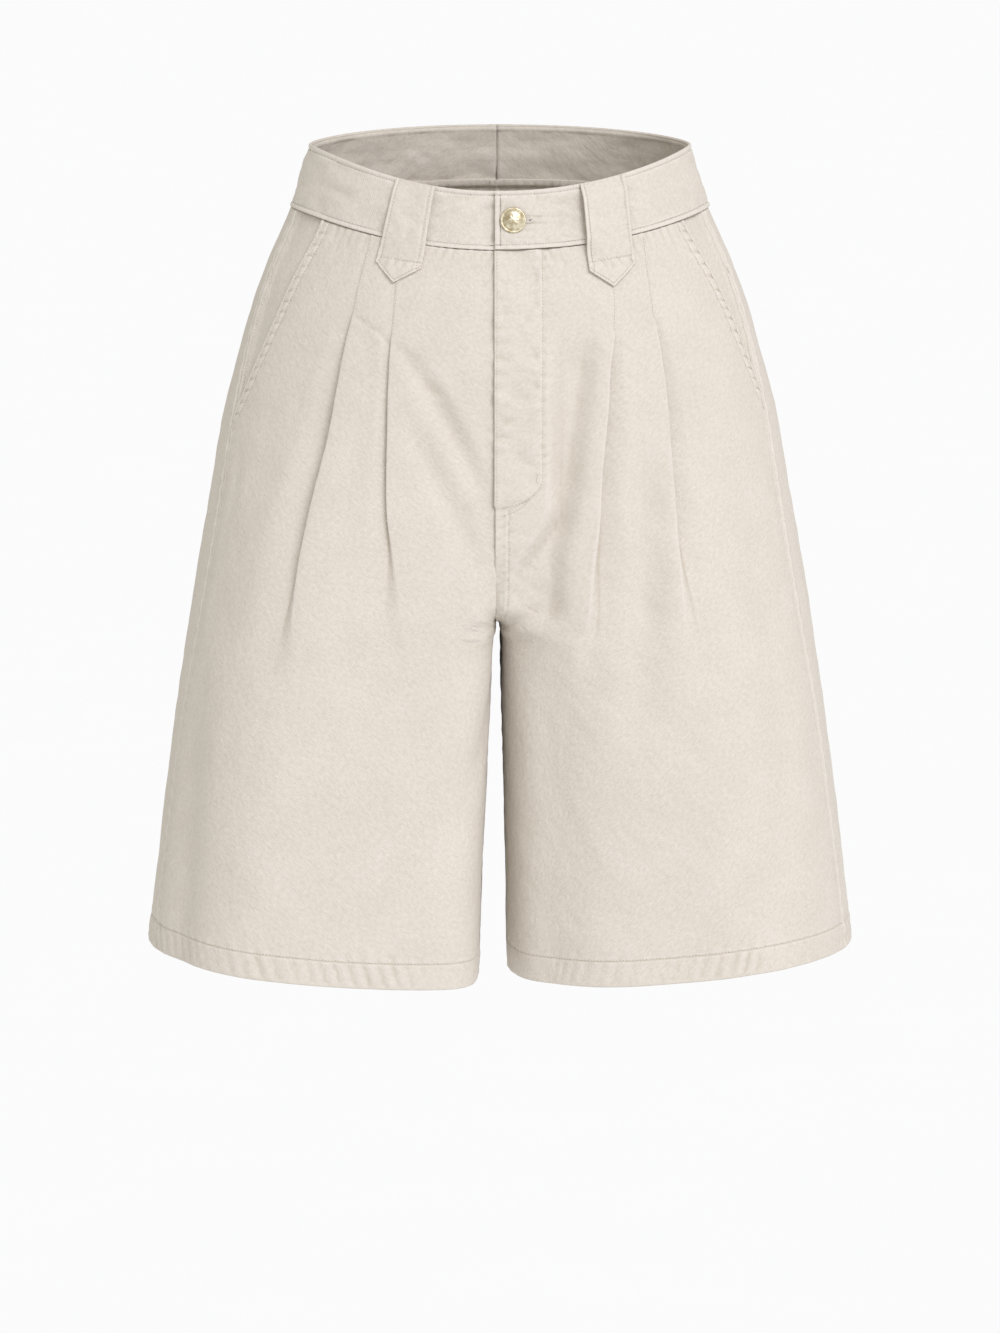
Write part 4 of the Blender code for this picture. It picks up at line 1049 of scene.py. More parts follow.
def band_relief(side, along, x, height):
    """Rolled lips, stitched grooves and creases; along runs from the centre back."""
    seed = 600 if side == LEFT else 650
    from_top = BAND_HEIGHT - height
    calm = smooth(from_top / 0.006) * smooth(height / 0.006)
    creases = (0.00095 * lattice_noise(along / 0.019, height / 0.0095, seed + 2)
               + 0.00048 * lattice_noise(along / 0.0085, height / 0.0052, seed + 3))
    relief = (0.0005 * (bump_at(from_top - 0.0011, 0.0011) + bump_at(height - 0.0011, 0.0011))
              + stitch_groove(from_top - BAND_ROW, 0.0006)
              + stitch_groove(height - BAND_ROW, 0.0006)
              + 0.00020 * puckers(along, 0.0066, seed) * bump_at(from_top - 0.003, 0.004)
              + 0.00024 * puckers(along + 0.1, 0.0072, seed + 1) * bump_at(height - 0.003, 0.005)
              + creases * calm)
    if side == LEFT:
        inside = x - LAP_EDGE
        from_slit = height + BUTTON_DROP
        beside = smooth((x - BUTTON_X) / 0.004) * smooth((SLIT_END + 0.0004 - x) / 0.0014)
        pull = bump_at(x - 0.016, 0.016) * bump_at(from_slit, 0.011)
        relief = (relief + 0.0004 * bump_at(inside - 0.0010, 0.0010)
                  + stitch_groove(inside - BAND_ROW, 0.0004)
                  - 0.0016 * beside * bump_at(from_slit, 0.00060)
                  + 0.00030 * beside * bump_at(np.abs(from_slit) - 0.0013, 0.0008)
                  + 0.0005 * pull * puckers(from_slit * 1.3 + 0.12 * x, 0.0062, seed + 4))
    return relief


LIP_STEPS = (0.0007, 0.0014, 0.0021, 0.0026, 0.0032, 0.0040, 0.0052)
SLIT_STEPS = (0.0014, 0.0009, 0.0005, 0.00015, -0.00015, -0.0005, -0.0009, -0.0014)
END_STEPS = np.array([0.0044, 0.0037, 0.0031, 0.0026, 0.0021, 0.0015, 0.0009, 0.0004, 0.0])
BEHIND_COLUMNS = 96
LAP_REACH = 0.036           # length of the band's end that has close columns


def band_heights():
    """Rows down the band: close at its lips and by the buttonhole."""
    return [BAND_HEIGHT, *(BAND_HEIGHT - step for step in LIP_STEPS),
            0.0335, 0.0310, 0.0285, 0.0262, 0.0242, 0.0228,
            *(step - BUTTON_DROP for step in SLIT_STEPS),
            0.0180, 0.0160, 0.0135, 0.0110, 0.0085, 0.0066, *LIP_STEPS[::-1], SEAM]


def band_rows(side):
    """Half the waistband, from the centre back round the side to its end at the front."""
    for up in band_heights():
        back, front = Row(BACK, side, -up), Row(FRONT, side, -up)
        behind = np.linspace(back.length + SEAM - BAND_SEAM, 0.0, BEHIND_COLUMNS)
        end = front.length + (-LAP_EDGE if side == LEFT else UNDERLAP_EDGE)
        turn = front.length - LAP_REACH
        ahead = np.concatenate([np.linspace(0.0, turn, 52)[1:-1],
                                np.linspace(turn, end - 0.0052, 44), end - END_STEPS])
        along = back.length + np.concatenate([-behind, ahead])
        x = side * np.concatenate([np.full(BEHIND_COLUMNS, back.length), front.length - ahead])
        height = band_height(side, x) + band_relief(side, along, x, up)
        points = np.concatenate([back.at(behind, height[:BEHIND_COLUMNS]),
                                 past_centre(front, side, ahead, height[BEHIND_COLUMNS:], -up)])
        yield points, along, -up, BAND_WALL


# ---- belt loops
def loop_height(t, foot_share, stand=LOOP_STAND):
    on_band = BAND_PROUD + CLEAR + LOOP_WALL / 2 + 0.0002
    rise = smooth(t / 0.2) * smooth((foot_share - t) / 0.22)
    settled = on_band - BAND_PROUD * smooth((t - foot_share + 0.05) / 0.08)
    return settled + stand * rise


def loop_relief(from_side, to_side, t, seed):
    """Rolled long edges, the stitched groove beside them and soft creases."""
    edge = min(from_side, to_side)
    lips = 0.0003 * bump_at(edge - 0.0009, 0.0009) + stitch_groove(edge - LOOP_EDGE_ROW, 0.0003)
    creases = (0.0008 * lattice_noise(from_side / 0.012, t * 6.5, seed)
               + 0.00035 * lattice_noise(from_side / 0.0055, t * 12, seed + 1))
    return lips + creases * smooth(edge / 0.004)


def front_loop_rows(side):
    """A wide front belt loop that ends in a pointed tab below the band."""
    top_from, top_to, foot_from, foot_to, shoulder, tip_across, tip = FRONT_LOOPS[side]
    top = -BAND_HEIGHT
    tip_share = (tip_across - foot_from) / (foot_to - foot_from)
    foot_share = (shoulder - LOOP_TACK - top) / (shoulder - top)
    shares = graded(0.0, 1.0, 13)
    shares = np.concatenate([tip_share * shares, tip_share + (1 - tip_share) * shares[1:]])
    for t in graded(0.0, 1.0, 46):
        start = top_from + (foot_from - top_from) * t
        end = top_to + (foot_to - top_to) * t
        points, places, drops = [], [], []
        for share in shares:
            edge = share / tip_share if share < tip_share else (1 - share) / (1 - tip_share)
            foot = shoulder + (tip - shoulder) * edge
            drop = top + (foot - top) * t
            row = cached_row(FRONT, side, round(float(drop), 4))
            first, last = row.distance(start), row.distance(end)
            place = first + (last - first) * share
            gathers = puckers(place, 0.0060, 730 + side)
            relief = (loop_relief(place - first, last - place, t, 700 + side)
                      + stitch_groove(foot - drop - LOOP_EDGE_ROW, 0.0003)
                      + stitch_groove(drop - LOOP_ROW, 0.0004)
                      + 0.0005 * gathers * bump_at(drop - LOOP_ROW - 0.003, 0.0035))
            stand = LOOP_STAND + LOOP_LIFT[side] * smooth((share - 0.5) / 0.5)
            points.append(row.at(place, loop_height(t, foot_share, stand) + relief))
            places.append(place)
            drops.append(drop)
        yield points, places, drops, LOOP_WALL


def back_loop_rows():
    """One plain loop over the centre back."""
    top = -BAND_HEIGHT
    foot_share = -top / (BACK_LOOP_FOOT - top)
    places = graded(-1.0, 1.0, 18) * BACK_LOOP_HALF
    for t in graded(0.0, 1.0, 40):
        drop = top + (BACK_LOOP_FOOT - top) * t
        row = Row(BACK, LEFT, drop)
        points = []
        for across in places:
            relief = loop_relief(across + BACK_LOOP_HALF, BACK_LOOP_HALF - across, t, 720)
            middle = row.at(row.length, loop_height(t, foot_share) + relief)
            points.append(middle * (0, 1, 1) + np.array([across, 0.0, 0.0]))
        yield points, places, drop, LOOP_WALL


# ---- stitching
def follow(piece, places, step=0.0010):
    """Points and normals along a line on a piece, given as corners of distance and drop."""
    corners = np.array(places, dtype=float)
    run = run_along(corners)
    count = max(int(run[-1] / step), 2)
    at = np.linspace(0.0, run[-1], count)
    distance, drop = np.interp(at, run, corners[:, 0]), np.interp(at, run, corners[:, 1])
    found = [piece.surface_at(d, h) for d, h in zip(distance, drop)]
    return np.array([f[0] for f in found]), np.array([f[1] for f in found])


def stitched(line):
    """Threads, and dark dots of painted shade at the needle holes, evenly along a line of points
    and normals.
    """
    points, normals = line
    run = run_along(points)
    threads, hole_shades = [], []
    for middle in np.arange(STITCH_PITCH * 0.7, run[-1] - STITCH_PITCH * 0.5, STITCH_PITCH):
        normal = read_at(run, middle, normals.T)
        start = read_at(run, middle - STITCH_LENGTH / 2, points.T)
        end = read_at(run, middle + STITCH_LENGTH / 2, points.T)
        lift = normal * THREAD_LIFT
        threads.append((start + lift, end + lift, normal))
        hole_shades.append((read_at(run, middle + STITCH_PITCH / 2, points.T), end - start, normal))
    return threads, hole_shades


def add_threads(verts, faces, threads):
    radius = THREAD_RADIUS
    for start, end, normal in threads:
        along = unit(end - start)
        across = unit(np.cross(normal, along))
        up = np.cross(along, across)
        first = len(verts)
        for centre in (start, end):
            for k in range(TUBE_SIDES):
                turn = 2 * math.pi * k / TUBE_SIDES
                verts.append(centre + radius * (math.cos(turn) * up + math.sin(turn) * across))
        verts.append(start - along * radius * 1.1 - up * radius * 0.6)
        verts.append(end + along * radius * 1.1 - up * radius * 0.6)
        tip, tail = first + 2 * TUBE_SIDES, first + 2 * TUBE_SIDES + 1
        for k in range(TUBE_SIDES):
            a, b = first + k, first + (k + 1) % TUBE_SIDES
            faces += [(a, b, b + TUBE_SIDES, a + TUBE_SIDES), (b, a, tip),
                      (a + TUBE_SIDES, b + TUBE_SIDES, tail)]


# Needle holes as dark dots of painted shade.
def add_hole_shades(verts, faces, hole_shades):
    for spot, along, normal in hole_shades:
        along = unit(along)
        beside = unit(np.cross(normal, along)) * HOLE_RADIUS
        ahead, up = along * HOLE_RADIUS * 1.2, normal * 0.00012
        top, foot = len(verts) + 4, len(verts) + 5
        for k in range(4):
            a, b = len(verts) + k, len(verts) + (k + 1) % 4
            faces += [(a, b, top), (b, a, foot)]
        verts += [spot + ahead, spot + beside, spot - ahead, spot - beside, spot + up, spot - up]


def add_slit_shade(verts, faces, line):
    """A dark sliver of painted shade along a line of points and normals: the shade in the
    buttonhole's slit.
    """
    points, normals = line
    first = len(verts)
    for point, normal, t in zip(points, normals, np.linspace(0.0, 1.0, len(points))):
        narrowed = SLIT_WIDTH * math.sqrt(max(math.sin(math.pi * t), 0.02))
        across = unit(np.cross(normal, points[-1] - points[0])) * narrowed
        lift = normal * SLIT_HEIGHT
        verts += [point + lift + across, point + lift * 1.1, point + lift - across, point]
    last = len(verts) - 4
    for corner in range(first, last, 4):
        for m in range(4):
            a, b = corner + m, corner + (m + 1) % 4
            faces.append((a, b, b + 4, a + 4))
    faces += [(first + 3, first + 2, first + 1, first), (last, last + 1, last + 2, last + 3)]


def seam_piece(name, runs, loose=(), slit_shades=()):
    """One piece with all the stitches of a panel; loose holds single threads such as bar tacks."""
    threads, hole_shades = list(loose), []
    for run in runs:
        made = stitched(run)
        threads += made[0]
        hole_shades += made[1]
    verts, faces = [], []
    add_threads(verts, faces, threads)
    thread_faces = len(faces)
    # Needle holes as dark dots of painted shade, the slit as a dark sliver of painted shade.
    add_hole_shades(verts, faces, hole_shades)
    hole_shade_faces = len(faces)
    for gap in slit_shades:
        add_slit_shade(verts, faces, gap)
    item = add_mesh(name, [tuple(v) for v in verts], faces,
                    *(MATERIALS[key] for key in ("thread", "needle_hole_shade", "slit")))
    index = np.zeros(len(faces), np.int32)
    index[thread_faces:] = 1
    index[hole_shade_faces:] = 2
    item.data.polygons.foreach_set("material_index", index)
    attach(item, "root")
    return item


def bar_tack(piece, places, width=0.0016, pitch=0.00042):
    """Close threads across a short line."""
    points, normals = follow(piece, places, 0.0003)
    run = run_along(points)
    threads = []
    for middle in np.arange(pitch / 2, run[-1], pitch):
        centre = read_at(run, middle, points.T)
        normal = read_at(run, middle, normals.T)
        along = read_at(run, middle + pitch, points.T) - read_at(run, middle - pitch, points.T)
        across = unit(np.cross(normal, along)) * width / 2
        lift = normal * 0.00022
        threads.append((centre - across + lift, centre + across + lift + along * 0.3, normal))
    return threads


def level_line(piece, drop, inset):
    """A line at one drop from side to side of a piece, kept that far from its ends."""
    row = int(np.argmin(np.abs(piece.drop[:, 0] - drop)))
    first, last = piece.hidden[0], piece.distance.shape[1] - piece.hidden[1] - 1
    run = piece.distance[row]
    return [(run[first] + inset, drop), (run[last] - inset, drop)]


def front_seams(side, piece):
    foot = POCKET[side][1]
    lines = [level_line(piece, HEM_ROW, 0.0010)]
    drops = np.linspace(FIRST_STITCH, foot - 0.003, 24)
    for inset in POCKET_ROWS:
        lines.append([(pocket_edge(side, d) + inset, d) for d in drops])
    for pleat, pleat_foot in zip(PLEATS[side], PLEAT_STITCHED[side]):
        lines.append([(Row(FRONT, side, d).distance(table_curve(pleat, 1, d)) + 0.0011, d)
                      for d in np.linspace(FIRST_STITCH, pleat_foot, 14)])
    loose = bar_tack(piece, [(0.0030, foot + 0.0010), (0.0024, foot + 0.0080)])
    if side == LEFT:
        lines += fly_lines()
        loose += bar_tack(piece, [fly_place(0.0280, 0.1630), fly_place(0.0265, 0.1690)])
    return [follow(piece, line) for line in lines], loose


def fly_place(inside, drop):
    return Row(FRONT, LEFT, drop).end - inside, drop


def fly_lines():
    """The J in two rows, the lap's edge and the row beside the rise seam."""
    start, end = FLY_END
    first = [fly_place(FLY_WIDTH, d) for d in np.linspace(FIRST_STITCH, start, 12)]
    for angle in np.linspace(0.0, 1.45, 14):
        drop = start + (end - start) * math.sin(angle)
        turn = max(1 - ((drop - start) / (end - start)) ** 2, 0.0)
        first.append(fly_place(FLY_WIDTH * math.sqrt(turn), drop))
    second = [fly_place(*p) for p in ((0.0225, 0.1790), (0.0190, 0.1842), (0.0150, 0.1880),
                                      (0.0100, 0.1912), (0.0020, 0.1930))]
    edge = [fly_place(0.0016 - FLY_LAP, d) for d in np.linspace(FIRST_STITCH, end, 16)]
    rise = [fly_place(RISE_ROW, d) for d in np.linspace(0.1950, 0.2760, 14)]
    return [first, second, edge, rise]


def back_seams(side, piece):
    lines = [level_line(piece, HEM_ROW, 0.0010)]
    if side == LEFT:
        lines.append([(Row(BACK, side, d).end - BACK_ROW, d)
                      for d in np.linspace(FIRST_STITCH, 0.2700, 24)])
    return [follow(piece, line) for line in lines], []


def band_seams(side, piece):
    lines, loose = [], []
    spare = BAND_ROW if side == LEFT else UNDERLAP_EDGE - LAP_EDGE + 0.0030
    drops = piece.drop[:, 0]
    for drop in (BAND_ROW - BAND_HEIGHT, -BAND_ROW):
        run = piece.distance[int(np.argmin(np.abs(drops - drop)))]
        lines.append([(run[0] + 0.001, drop), (run[-1] - spare, drop)])
    if side == LEFT:
        lines.append([(run[-1] - 1.4 * BAND_ROW, drop)
                      for run, drop in zip(piece.distance, drops)
                      if BAND_ROW * 1.5 < -drop < BAND_HEIGHT - BAND_ROW * 1.5])
        loose = buttonhole_threads(piece)
    return [follow(piece, line) for line in lines], loose


def slit_line(piece, beside=0.0):
    """The part of the buttonhole's slit that the button leaves free, or a line beside it."""
    row = int(np.argmin(np.abs(piece.drop[:, 0] - BUTTON_DROP)))
    centre = piece.distance[row][-1] + LAP_EDGE
    return [(centre - inside, BUTTON_DROP + beside) for inside in SLIT_SPAN]


def buttonhole_threads(piece):
    """Close threads round the slit and the zigzag tack at its end."""
    threads = []
    for beside in (-0.0015, 0.0015):
        threads += bar_tack(piece, slit_line(piece, beside), 0.0006, 0.00050)
    zigzag = []
    end = slit_line(piece)[1][0]
    for k in range(9):
        sign = 1.0 if k % 2 else -1.0
        drop = BUTTON_DROP - 0.00018 * k + sign * 0.0010
        point, normal = piece.surface_at(end - 0.0002 - 0.0009 * k, drop)
        zigzag.append((point + normal * 0.0002, normal))
    return threads + [(a[0], b[0], a[1]) for a, b in zip(zigzag[:-1], zigzag[1:])]


def loop_seams(piece, level=None):
    """Rows beside a loop's long edges and along its lower end."""
    outer, normals = piece.outer

    def line(runs, faces, place):
        read = [[read_at(run, place(run), face.T) for face in (points, facing)]
                for run, points, facing in zip(runs, *faces)]
        return tuple(np.array(part) for part in zip(*read))

    rows, columns = slice(1, -2), slice(2, -2)
    level_rows = piece.distance[rows], (outer[rows], normals[rows])
    downs = piece.drop.T[columns], [np.swapaxes(face, 0, 1)[columns] for face in (outer, normals)]
    lines = [line(*level_rows, lambda run: run[0] + LOOP_EDGE_ROW),
             line(*level_rows, lambda run: run[-1] - LOOP_EDGE_ROW),
             line(*downs, lambda run: run[-1] - 0.0026)]
    if level is not None:
        lines.append(line(*downs, lambda run: level))
    return lines, []


def facing_seams(side, piece):
    line = [(FACING_ROW, d) for d in np.linspace(0.042, POCKET[side][1] - 0.004, 12)]
    return [follow(piece, line)], bar_tack(piece, [(0.0024, 0.0375), (0.0024, 0.0420)])


# ---- materials
class Nodes:
    """Short names for building a material's node tree."""

    def __init__(self, name):
        self.material = bpy.data.materials.new(name)
        self.material.use_nodes = True
        self.tree = self.material.node_tree
        self.shader = self.tree.nodes["Principled BSDF"]

    def put(self, target, value):
        if isinstance(value, bpy.types.NodeSocket):
            self.tree.links.new(value, target)
        else:
            target.default_value = value

    def node(self, kind, inputs=(), **settings):
        made = self.tree.nodes.new("ShaderNode" + kind)
        for key, value in settings.items():
            setattr(made, key, value)
        for key, value in dict(inputs).items():
            self.put(made.inputs[key], value)
        return made

    def attribute(self, name, output):
        return self.node("Attribute", attribute_name=name).outputs[output]

    def object_place(self):
        return self.node("TexCoord").outputs["Object"]

    def mapped(self, vector, **settings):
        return self.node("Mapping", {"Vector": vector, **settings}).outputs[0]

    def math(self, operation, a, b):
        return self.node("Math", {0: a, 1: b}, operation=operation).outputs[0]

    def total(self, *parts):
        """The sum of values, each given with its weight."""
        weighted = [self.math("MULTIPLY", value, weight) for value, weight in parts]
        return functools.reduce(functools.partial(self.math, "ADD"), weighted)

    def mix(self, factor, a, b):
        return self.node("Mix", {0: factor, 6: a, 7: b}, data_type="RGBA").outputs[2]

    def span(self, value, low, high, to_low=0.0, to_high=1.0):
        return self.node("MapRange", {"Value": value, "From Min": low, "From Max": high,
                                      "To Min": to_low, "To Max": to_high}).outputs[0]

    def noise(self, vector, scale, detail=2.0):
        settings = {"Vector": vector, "Scale": scale, "Detail": detail}
        return self.node("TexNoise", settings).outputs[0]

    def bump(self, height, strength, distance):
        settings = {"Height": height, "Strength": strength, "Distance": distance}
        return self.node("Bump", settings).outputs[0]

    def finish(self, inputs):
        """Fills in the shader; a value that is the same all over goes on its own socket."""
        for key, value in inputs.items():
            self.put(self.shader.inputs[key], value)
        return self.material


TWILL_LIGHT = (0.700, 0.652, 0.586, 1.0)
TWILL_DARK = (0.655, 0.605, 0.536, 1.0)
# paler colour of ridges: rubbed wear and painted highlight
TWILL_WEAR_AND_HIGHLIGHT = (0.765, 0.724, 0.668, 1.0)
# darker colour of the weave's grain, and of grooves, where it is painted shade
TWILL_GRAIN_AND_GROOVE_SHADE = (0.410, 0.345, 0.265, 1.0)
THREAD_COLOURS = (0.680, 0.625, 0.550, 1.0), (0.770, 0.725, 0.660, 1.0)
# dark dots of painted shade at the needle holes
HOLE_SHADE_COLOURS = (0.300, 0.245, 0.175, 1.0), (0.460, 0.390, 0.300, 1.0)
# dark sliver of painted shade in the buttonhole's slit
SLIT_SHADE_COLOURS = (0.050, 0.036, 0.022, 1.0), (0.090, 0.066, 0.042, 1.0)
BRASS_COLOURS = (0.470, 0.395, 0.245, 1.0), (0.770, 0.710, 0.550, 1.0)
FLOOR_COLOURS = (0.950, 0.964, 0.981, 1.0), (0.958, 0.972, 0.989, 1.0)
WALE_PITCH = 0.00115
WALE_TURN = math.radians(52)


def twill_material():
    """Fine slanting wales, slubs and washed mottling; ridges paler with rubbed wear and a painted
    highlight, grooves darker with painted shade.
    """
    n = Nodes("washed_twill")
    cut = n.attribute("cut", "Vector")
    turned = n.mapped(cut, Rotation=(0.0, 0.0, WALE_TURN))
    wale = n.node("TexWave", {"Vector": turned, "Scale": 2 * math.pi / (20 * WALE_PITCH),
                              "Distortion": 3.5, "Detail": 2.0, "Detail Scale": 1.4},
                  wave_type="BANDS", bands_direction="X").outputs["Fac"]
    slub = n.noise(n.mapped(turned, Scale=(1.0, 0.45, 1.0)), 620.0, 3.0)
    crumple = n.noise(n.mapped(turned, Scale=(1.0, 0.62, 1.0)), 210.0, 4.0)
    grain = n.noise(cut, 1500.0, 2.0)
    cloud = n.noise(cut, 30.0, 4.0)
    speck = n.noise(cut, 420.0, 3.0)
    wear_highlight_shade = n.attribute("wear_highlight_shade", "Fac")
    tone = n.total((cloud, 0.35), (speck, 0.40), (grain, 0.25))
    thread_tone = n.total((wale, 0.25), (slub, 0.75))
    colour = n.mix(n.span(tone, 0.40, 0.60), TWILL_DARK, TWILL_LIGHT)
    colour = n.mix(n.span(thread_tone, 0.30, 0.70, 0.30, 0.0), colour, TWILL_GRAIN_AND_GROOVE_SHADE)
    # Ridges: rubbed wear and painted highlight; grooves and the inner face: painted shade
    colour = n.mix(n.span(wear_highlight_shade, 0.10, 0.95, 0.0, 0.32), colour, TWILL_WEAR_AND_HIGHLIGHT)
    colour = n.mix(n.span(wear_highlight_shade, -0.08, -0.90, 0.0, 0.46), colour, TWILL_GRAIN_AND_GROOVE_SHADE)
    relief = n.total((wale, 0.22), (slub, 0.95), (grain, 0.50), (crumple, 3.0))
    return n.finish({"Base Color": colour, "Normal": n.bump(relief, 0.95, 0.00024),
                     "Roughness": n.span(slub, 0.3, 0.7, 0.96, 0.86), "Sheen Weight": 0.10,
                     "Sheen Roughness": 0.55, "Specular IOR Level": 0.25})


def thread_material():
    n = Nodes("cotton_thread")
    place = n.object_place()
    speck = n.noise(place, 900.0, 2.0)
    return n.finish({"Base Color": n.mix(speck, *THREAD_COLOURS),
                     "Normal": n.bump(n.noise(place, 4200.0, 1.0), 0.5, 0.0001),
                     "Roughness": n.span(speck, 0.3, 0.7, 0.70, 0.60)})


# A dark material of painted shade: needle holes and the buttonhole's slit.
def painted_shade_material(name, dark, light):
    n = Nodes(name)
    speck = n.noise(n.object_place(), 700.0, 1.0)
    return n.finish({"Base Color": n.mix(speck, dark, light),
                     "Roughness": n.span(speck, 0.3, 0.7, 0.98, 0.90)})


def brass_material():
    """Pale worn brass with fine scratches and cloudy darker patches."""
    n = Nodes("pale_brass")
    place = n.object_place()
    scratch = n.noise(n.mapped(place, Scale=(1.0, 7.0, 1.0)), 900.0, 3.0)
    cloud = n.noise(place, 260.0, 3.0)
    return n.finish({"Base Color": n.mix(n.span(cloud, 0.38, 0.62), *BRASS_COLOURS),
                     "Roughness": n.span(scratch, 0.3, 0.7, 0.34, 0.54),
                     "Normal": n.bump(scratch, 0.20, 0.00006), "Metallic": 1.0})


# The two dark materials after the brass are painted shade: needle holes and the buttonhole's slit.
MATERIALS = {"twill": twill_material(), "thread": thread_material(), "brass": brass_material(),
             "needle_hole_shade": painted_shade_material("needle_hole_shade", *HOLE_SHADE_COLOURS),
             "slit": painted_shade_material("slit", *SLIT_SHADE_COLOURS)}


# ---- button
def button_frame():
    """Place on the front of the band and a matrix whose Z axis points out of it."""
    row = Row(FRONT, LEFT, BUTTON_DROP)
    outer = band_height(LEFT, 0.0) + BAND_WALL / 2
    at = row.length - BUTTON_X
    point = Vector(row.at(at, outer))
    normal = (Vector(row.at(at, 1.0)) - Vector(row.at(at, 0.0))).normalized()
    across = Vector((1.0, 0.0, 0.0))
    up = normal.cross(across).normalized()
    across = up.cross(normal).normalized()
    return Matrix.Translation(point) @ Matrix((across, up, normal)).transposed().to_4x4()


BUTTON_PROFILE = (
    # radius, height of the turned face, from the middle out and round to the back
    (0.0000, 0.00368), (0.0008, 0.00366), (0.0016, 0.00359), (0.0024, 0.00347),
    (0.0032, 0.00330), (0.0040, 0.00307), (0.0048, 0.00278), (0.0055, 0.00248),
    (0.0061, 0.00216), (0.0065, 0.00186), (0.00675, 0.00158), (0.00690, 0.00142),
    (0.00705, 0.00140), (0.00725, 0.00156), (0.0075, 0.00170), (0.0079, 0.00170),
    (0.0082, 0.00158), (0.0084, 0.00136), (0.0085, 0.00110), (0.0084, 0.00082),
    (0.0081, 0.00062), (0.0074, 0.00055), (0.0050, 0.00052), (0.0020, 0.00050),
    (0.0016, 0.00045), (0.0016, 0.00010), (0.0014, -0.00040), (0.0000, -0.00040),
)
BUTTON_TURNS = 72
BUTTON_FACE = 20            # rings of points that carry the ornament


def button_relief(radius, turn):
    """A plain ornament of eight shallow petals inside a fine beaded ring."""
    petals = 0.00016 * bump_at(radius - 0.0026, 0.0013) * (0.5 + 0.5 * math.cos(8 * turn))
    ring = 0.00010 * bump_at(radius - 0.0052, 0.00035) * (0.6 + 0.4 * math.cos(36 * turn))
    hub = 0.00014 * bump_at(radius, 0.0008)
    return petals + ring + hub


def make_button():
    profile = []
    for (r0, z0), (r1, z1) in zip(BUTTON_PROFILE[:-1], BUTTON_PROFILE[1:]):
        profile += [(r0, z0), ((r0 + r1) / 2, (z0 + z1) / 2)]
    profile.append(BUTTON_PROFILE[-1])
    verts, faces = [], []
    for ring, (radius, height) in enumerate(profile):
        for k in range(BUTTON_TURNS):
            turn = 2 * math.pi * k / BUTTON_TURNS
            raised = button_relief(radius, turn) if ring < BUTTON_FACE else 0.0
            verts.append((radius * math.cos(turn), radius * math.sin(turn), height + raised))
    for ring in range(len(profile) - 1):
        for k in range(BUTTON_TURNS):
            a = ring * BUTTON_TURNS + k
            b = ring * BUTTON_TURNS + (k + 1) % BUTTON_TURNS
            faces.append((a, a + BUTTON_TURNS, b + BUTTON_TURNS, b))
    item = add_mesh("brass_button", verts, faces, MATERIALS["brass"])
    weld = item.modifiers.new("weld", "WELD")
    weld.merge_threshold = 0.000005
    item.matrix_world = button_frame()
    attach(item, "root")
    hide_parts("button")


# ---- dressing the frame
def dress(piece, node, stitches=((), ())):
    runs, loose = stitches
    # The buttonhole's slit gets a dark sliver of painted shade.
    slit_shades = [follow(piece, slit_line(piece), 0.0005)] if node == "waistband_left" else ()
    name = piece.name.replace("twill", "stitches")
    seams = seam_piece(name, runs, loose, slit_shades) if runs or loose else None
    item = shell(piece)
    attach(item, "root")
    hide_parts(node)


def dress_all():
    for side, word in SIDE_NAMES.items():
        out = side == LEFT
        band = "waistband_" + word
        piece = Piece("twill_front_" + word, front_rows(side), out, (HIDDEN, HIDDEN))
        dress(piece, "front_" + word,
              front_seams(side, piece))
        piece = Piece("twill_back_" + word, back_rows(side), not out, (0, HIDDEN if out else 0))
        dress(piece, "back_" + word,
              back_seams(side, piece))
        piece = Piece("twill_waistband_" + word, band_rows(side), out, blunt=True)
        dress(piece, band, band_seams(side, piece))
        piece = Piece("twill_belt_loop_front_" + word, front_loop_rows(side), out)
        dress(piece, "belt_loop_front_" + word,
              loop_seams(piece, LOOP_ROW))
        piece = Piece("twill_pocket_facing_" + word, facing_rows(side), out, (HIDDEN, 0))
        dress(piece, "pocket_facing_" + word,
              facing_seams(side, piece))
    piece = Piece("twill_belt_loop_back", back_loop_rows(), True)
    dress(piece, "belt_loop_back",
          loop_seams(piece))
    piece = Piece("twill_fly_shield", shield_rows(), True)
    dress(piece, "fly_shield")
    make_button()


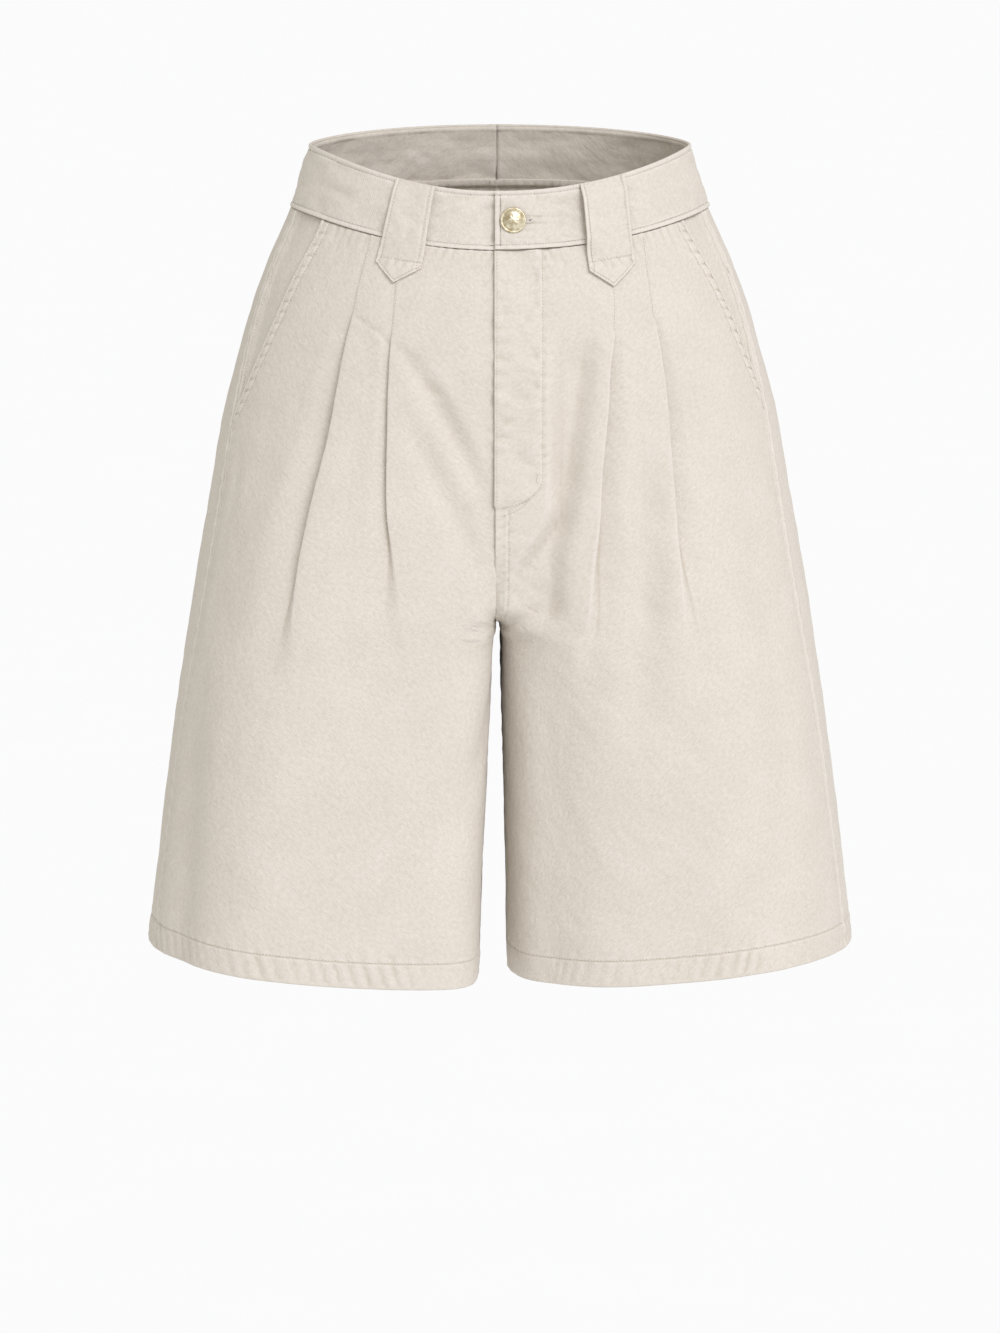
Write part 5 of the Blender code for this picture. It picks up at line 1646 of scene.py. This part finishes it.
# ---- floor, light and camera
FLOOR_LEVEL = -2.5
FLOOR_HALF = 500.0
AIM = Vector((0.0, 0.0, -0.3346))
CAMERA_DISTANCE = 4.0
CAMERA_RISE = math.radians(8.0)
CAMERA_LENS = 158.9
SUN_STRENGTH = 1.85
SUN_TURN = math.radians(26.0)      # to the viewer's right of straight ahead
SUN_RISE = math.radians(37.0)
SUN_WIDTH = math.radians(32.0)
SKY_STRENGTH = 0.66


def make_floor():
    n = Nodes("studio_floor")
    speck = n.noise(n.object_place(), 3.0, 2.0)
    material = n.finish({"Base Color": n.mix(speck, *FLOOR_COLOURS), "Roughness": 1.0,
                         "Specular IOR Level": 0.0})
    corners = [(x * FLOOR_HALF, y * FLOOR_HALF, FLOOR_LEVEL)
               for x, y in ((-1, -1), (1, -1), (1, 1), (-1, 1))]
    add_mesh("floor", corners, [(0, 1, 2, 3)], material)


def aim(item, at):
    direction = at - item.location
    item.rotation_euler = direction.to_track_quat("-Z", "Y").to_euler()


def make_light():
    world = bpy.data.worlds.new("studio")
    world.use_nodes = True
    sky = world.node_tree.nodes["Background"]
    sky.inputs["Color"].default_value = (1.0, 0.972, 0.908, 1.0)
    sky.inputs["Strength"].default_value = SKY_STRENGTH
    bpy.context.scene.world = world
    sun = bpy.data.lights.new("key", "SUN")
    sun.energy = SUN_STRENGTH
    sun.angle = SUN_WIDTH
    sun.color = (1.0, 1.010, 1.095)
    key = add_object("key", sun)
    level = math.cos(SUN_RISE)
    key.location = AIM + 3.0 * Vector((math.sin(SUN_TURN) * level, -math.cos(SUN_TURN) * level,
                                       math.sin(SUN_RISE)))
    aim(key, AIM)


def make_camera():
    data = bpy.data.cameras.new("camera")
    data.lens = CAMERA_LENS
    data.sensor_width = 36.0
    data.clip_end = 2000.0
    camera = add_object("camera", data)
    camera.location = AIM + CAMERA_DISTANCE * Vector((0.0, -math.cos(CAMERA_RISE),
                                                      math.sin(CAMERA_RISE)))
    aim(camera, AIM)
    bpy.context.scene.camera = camera


bpy.context.scene.view_settings.view_transform = "Standard"
make_floor()
make_light()
make_camera()
dress_all()
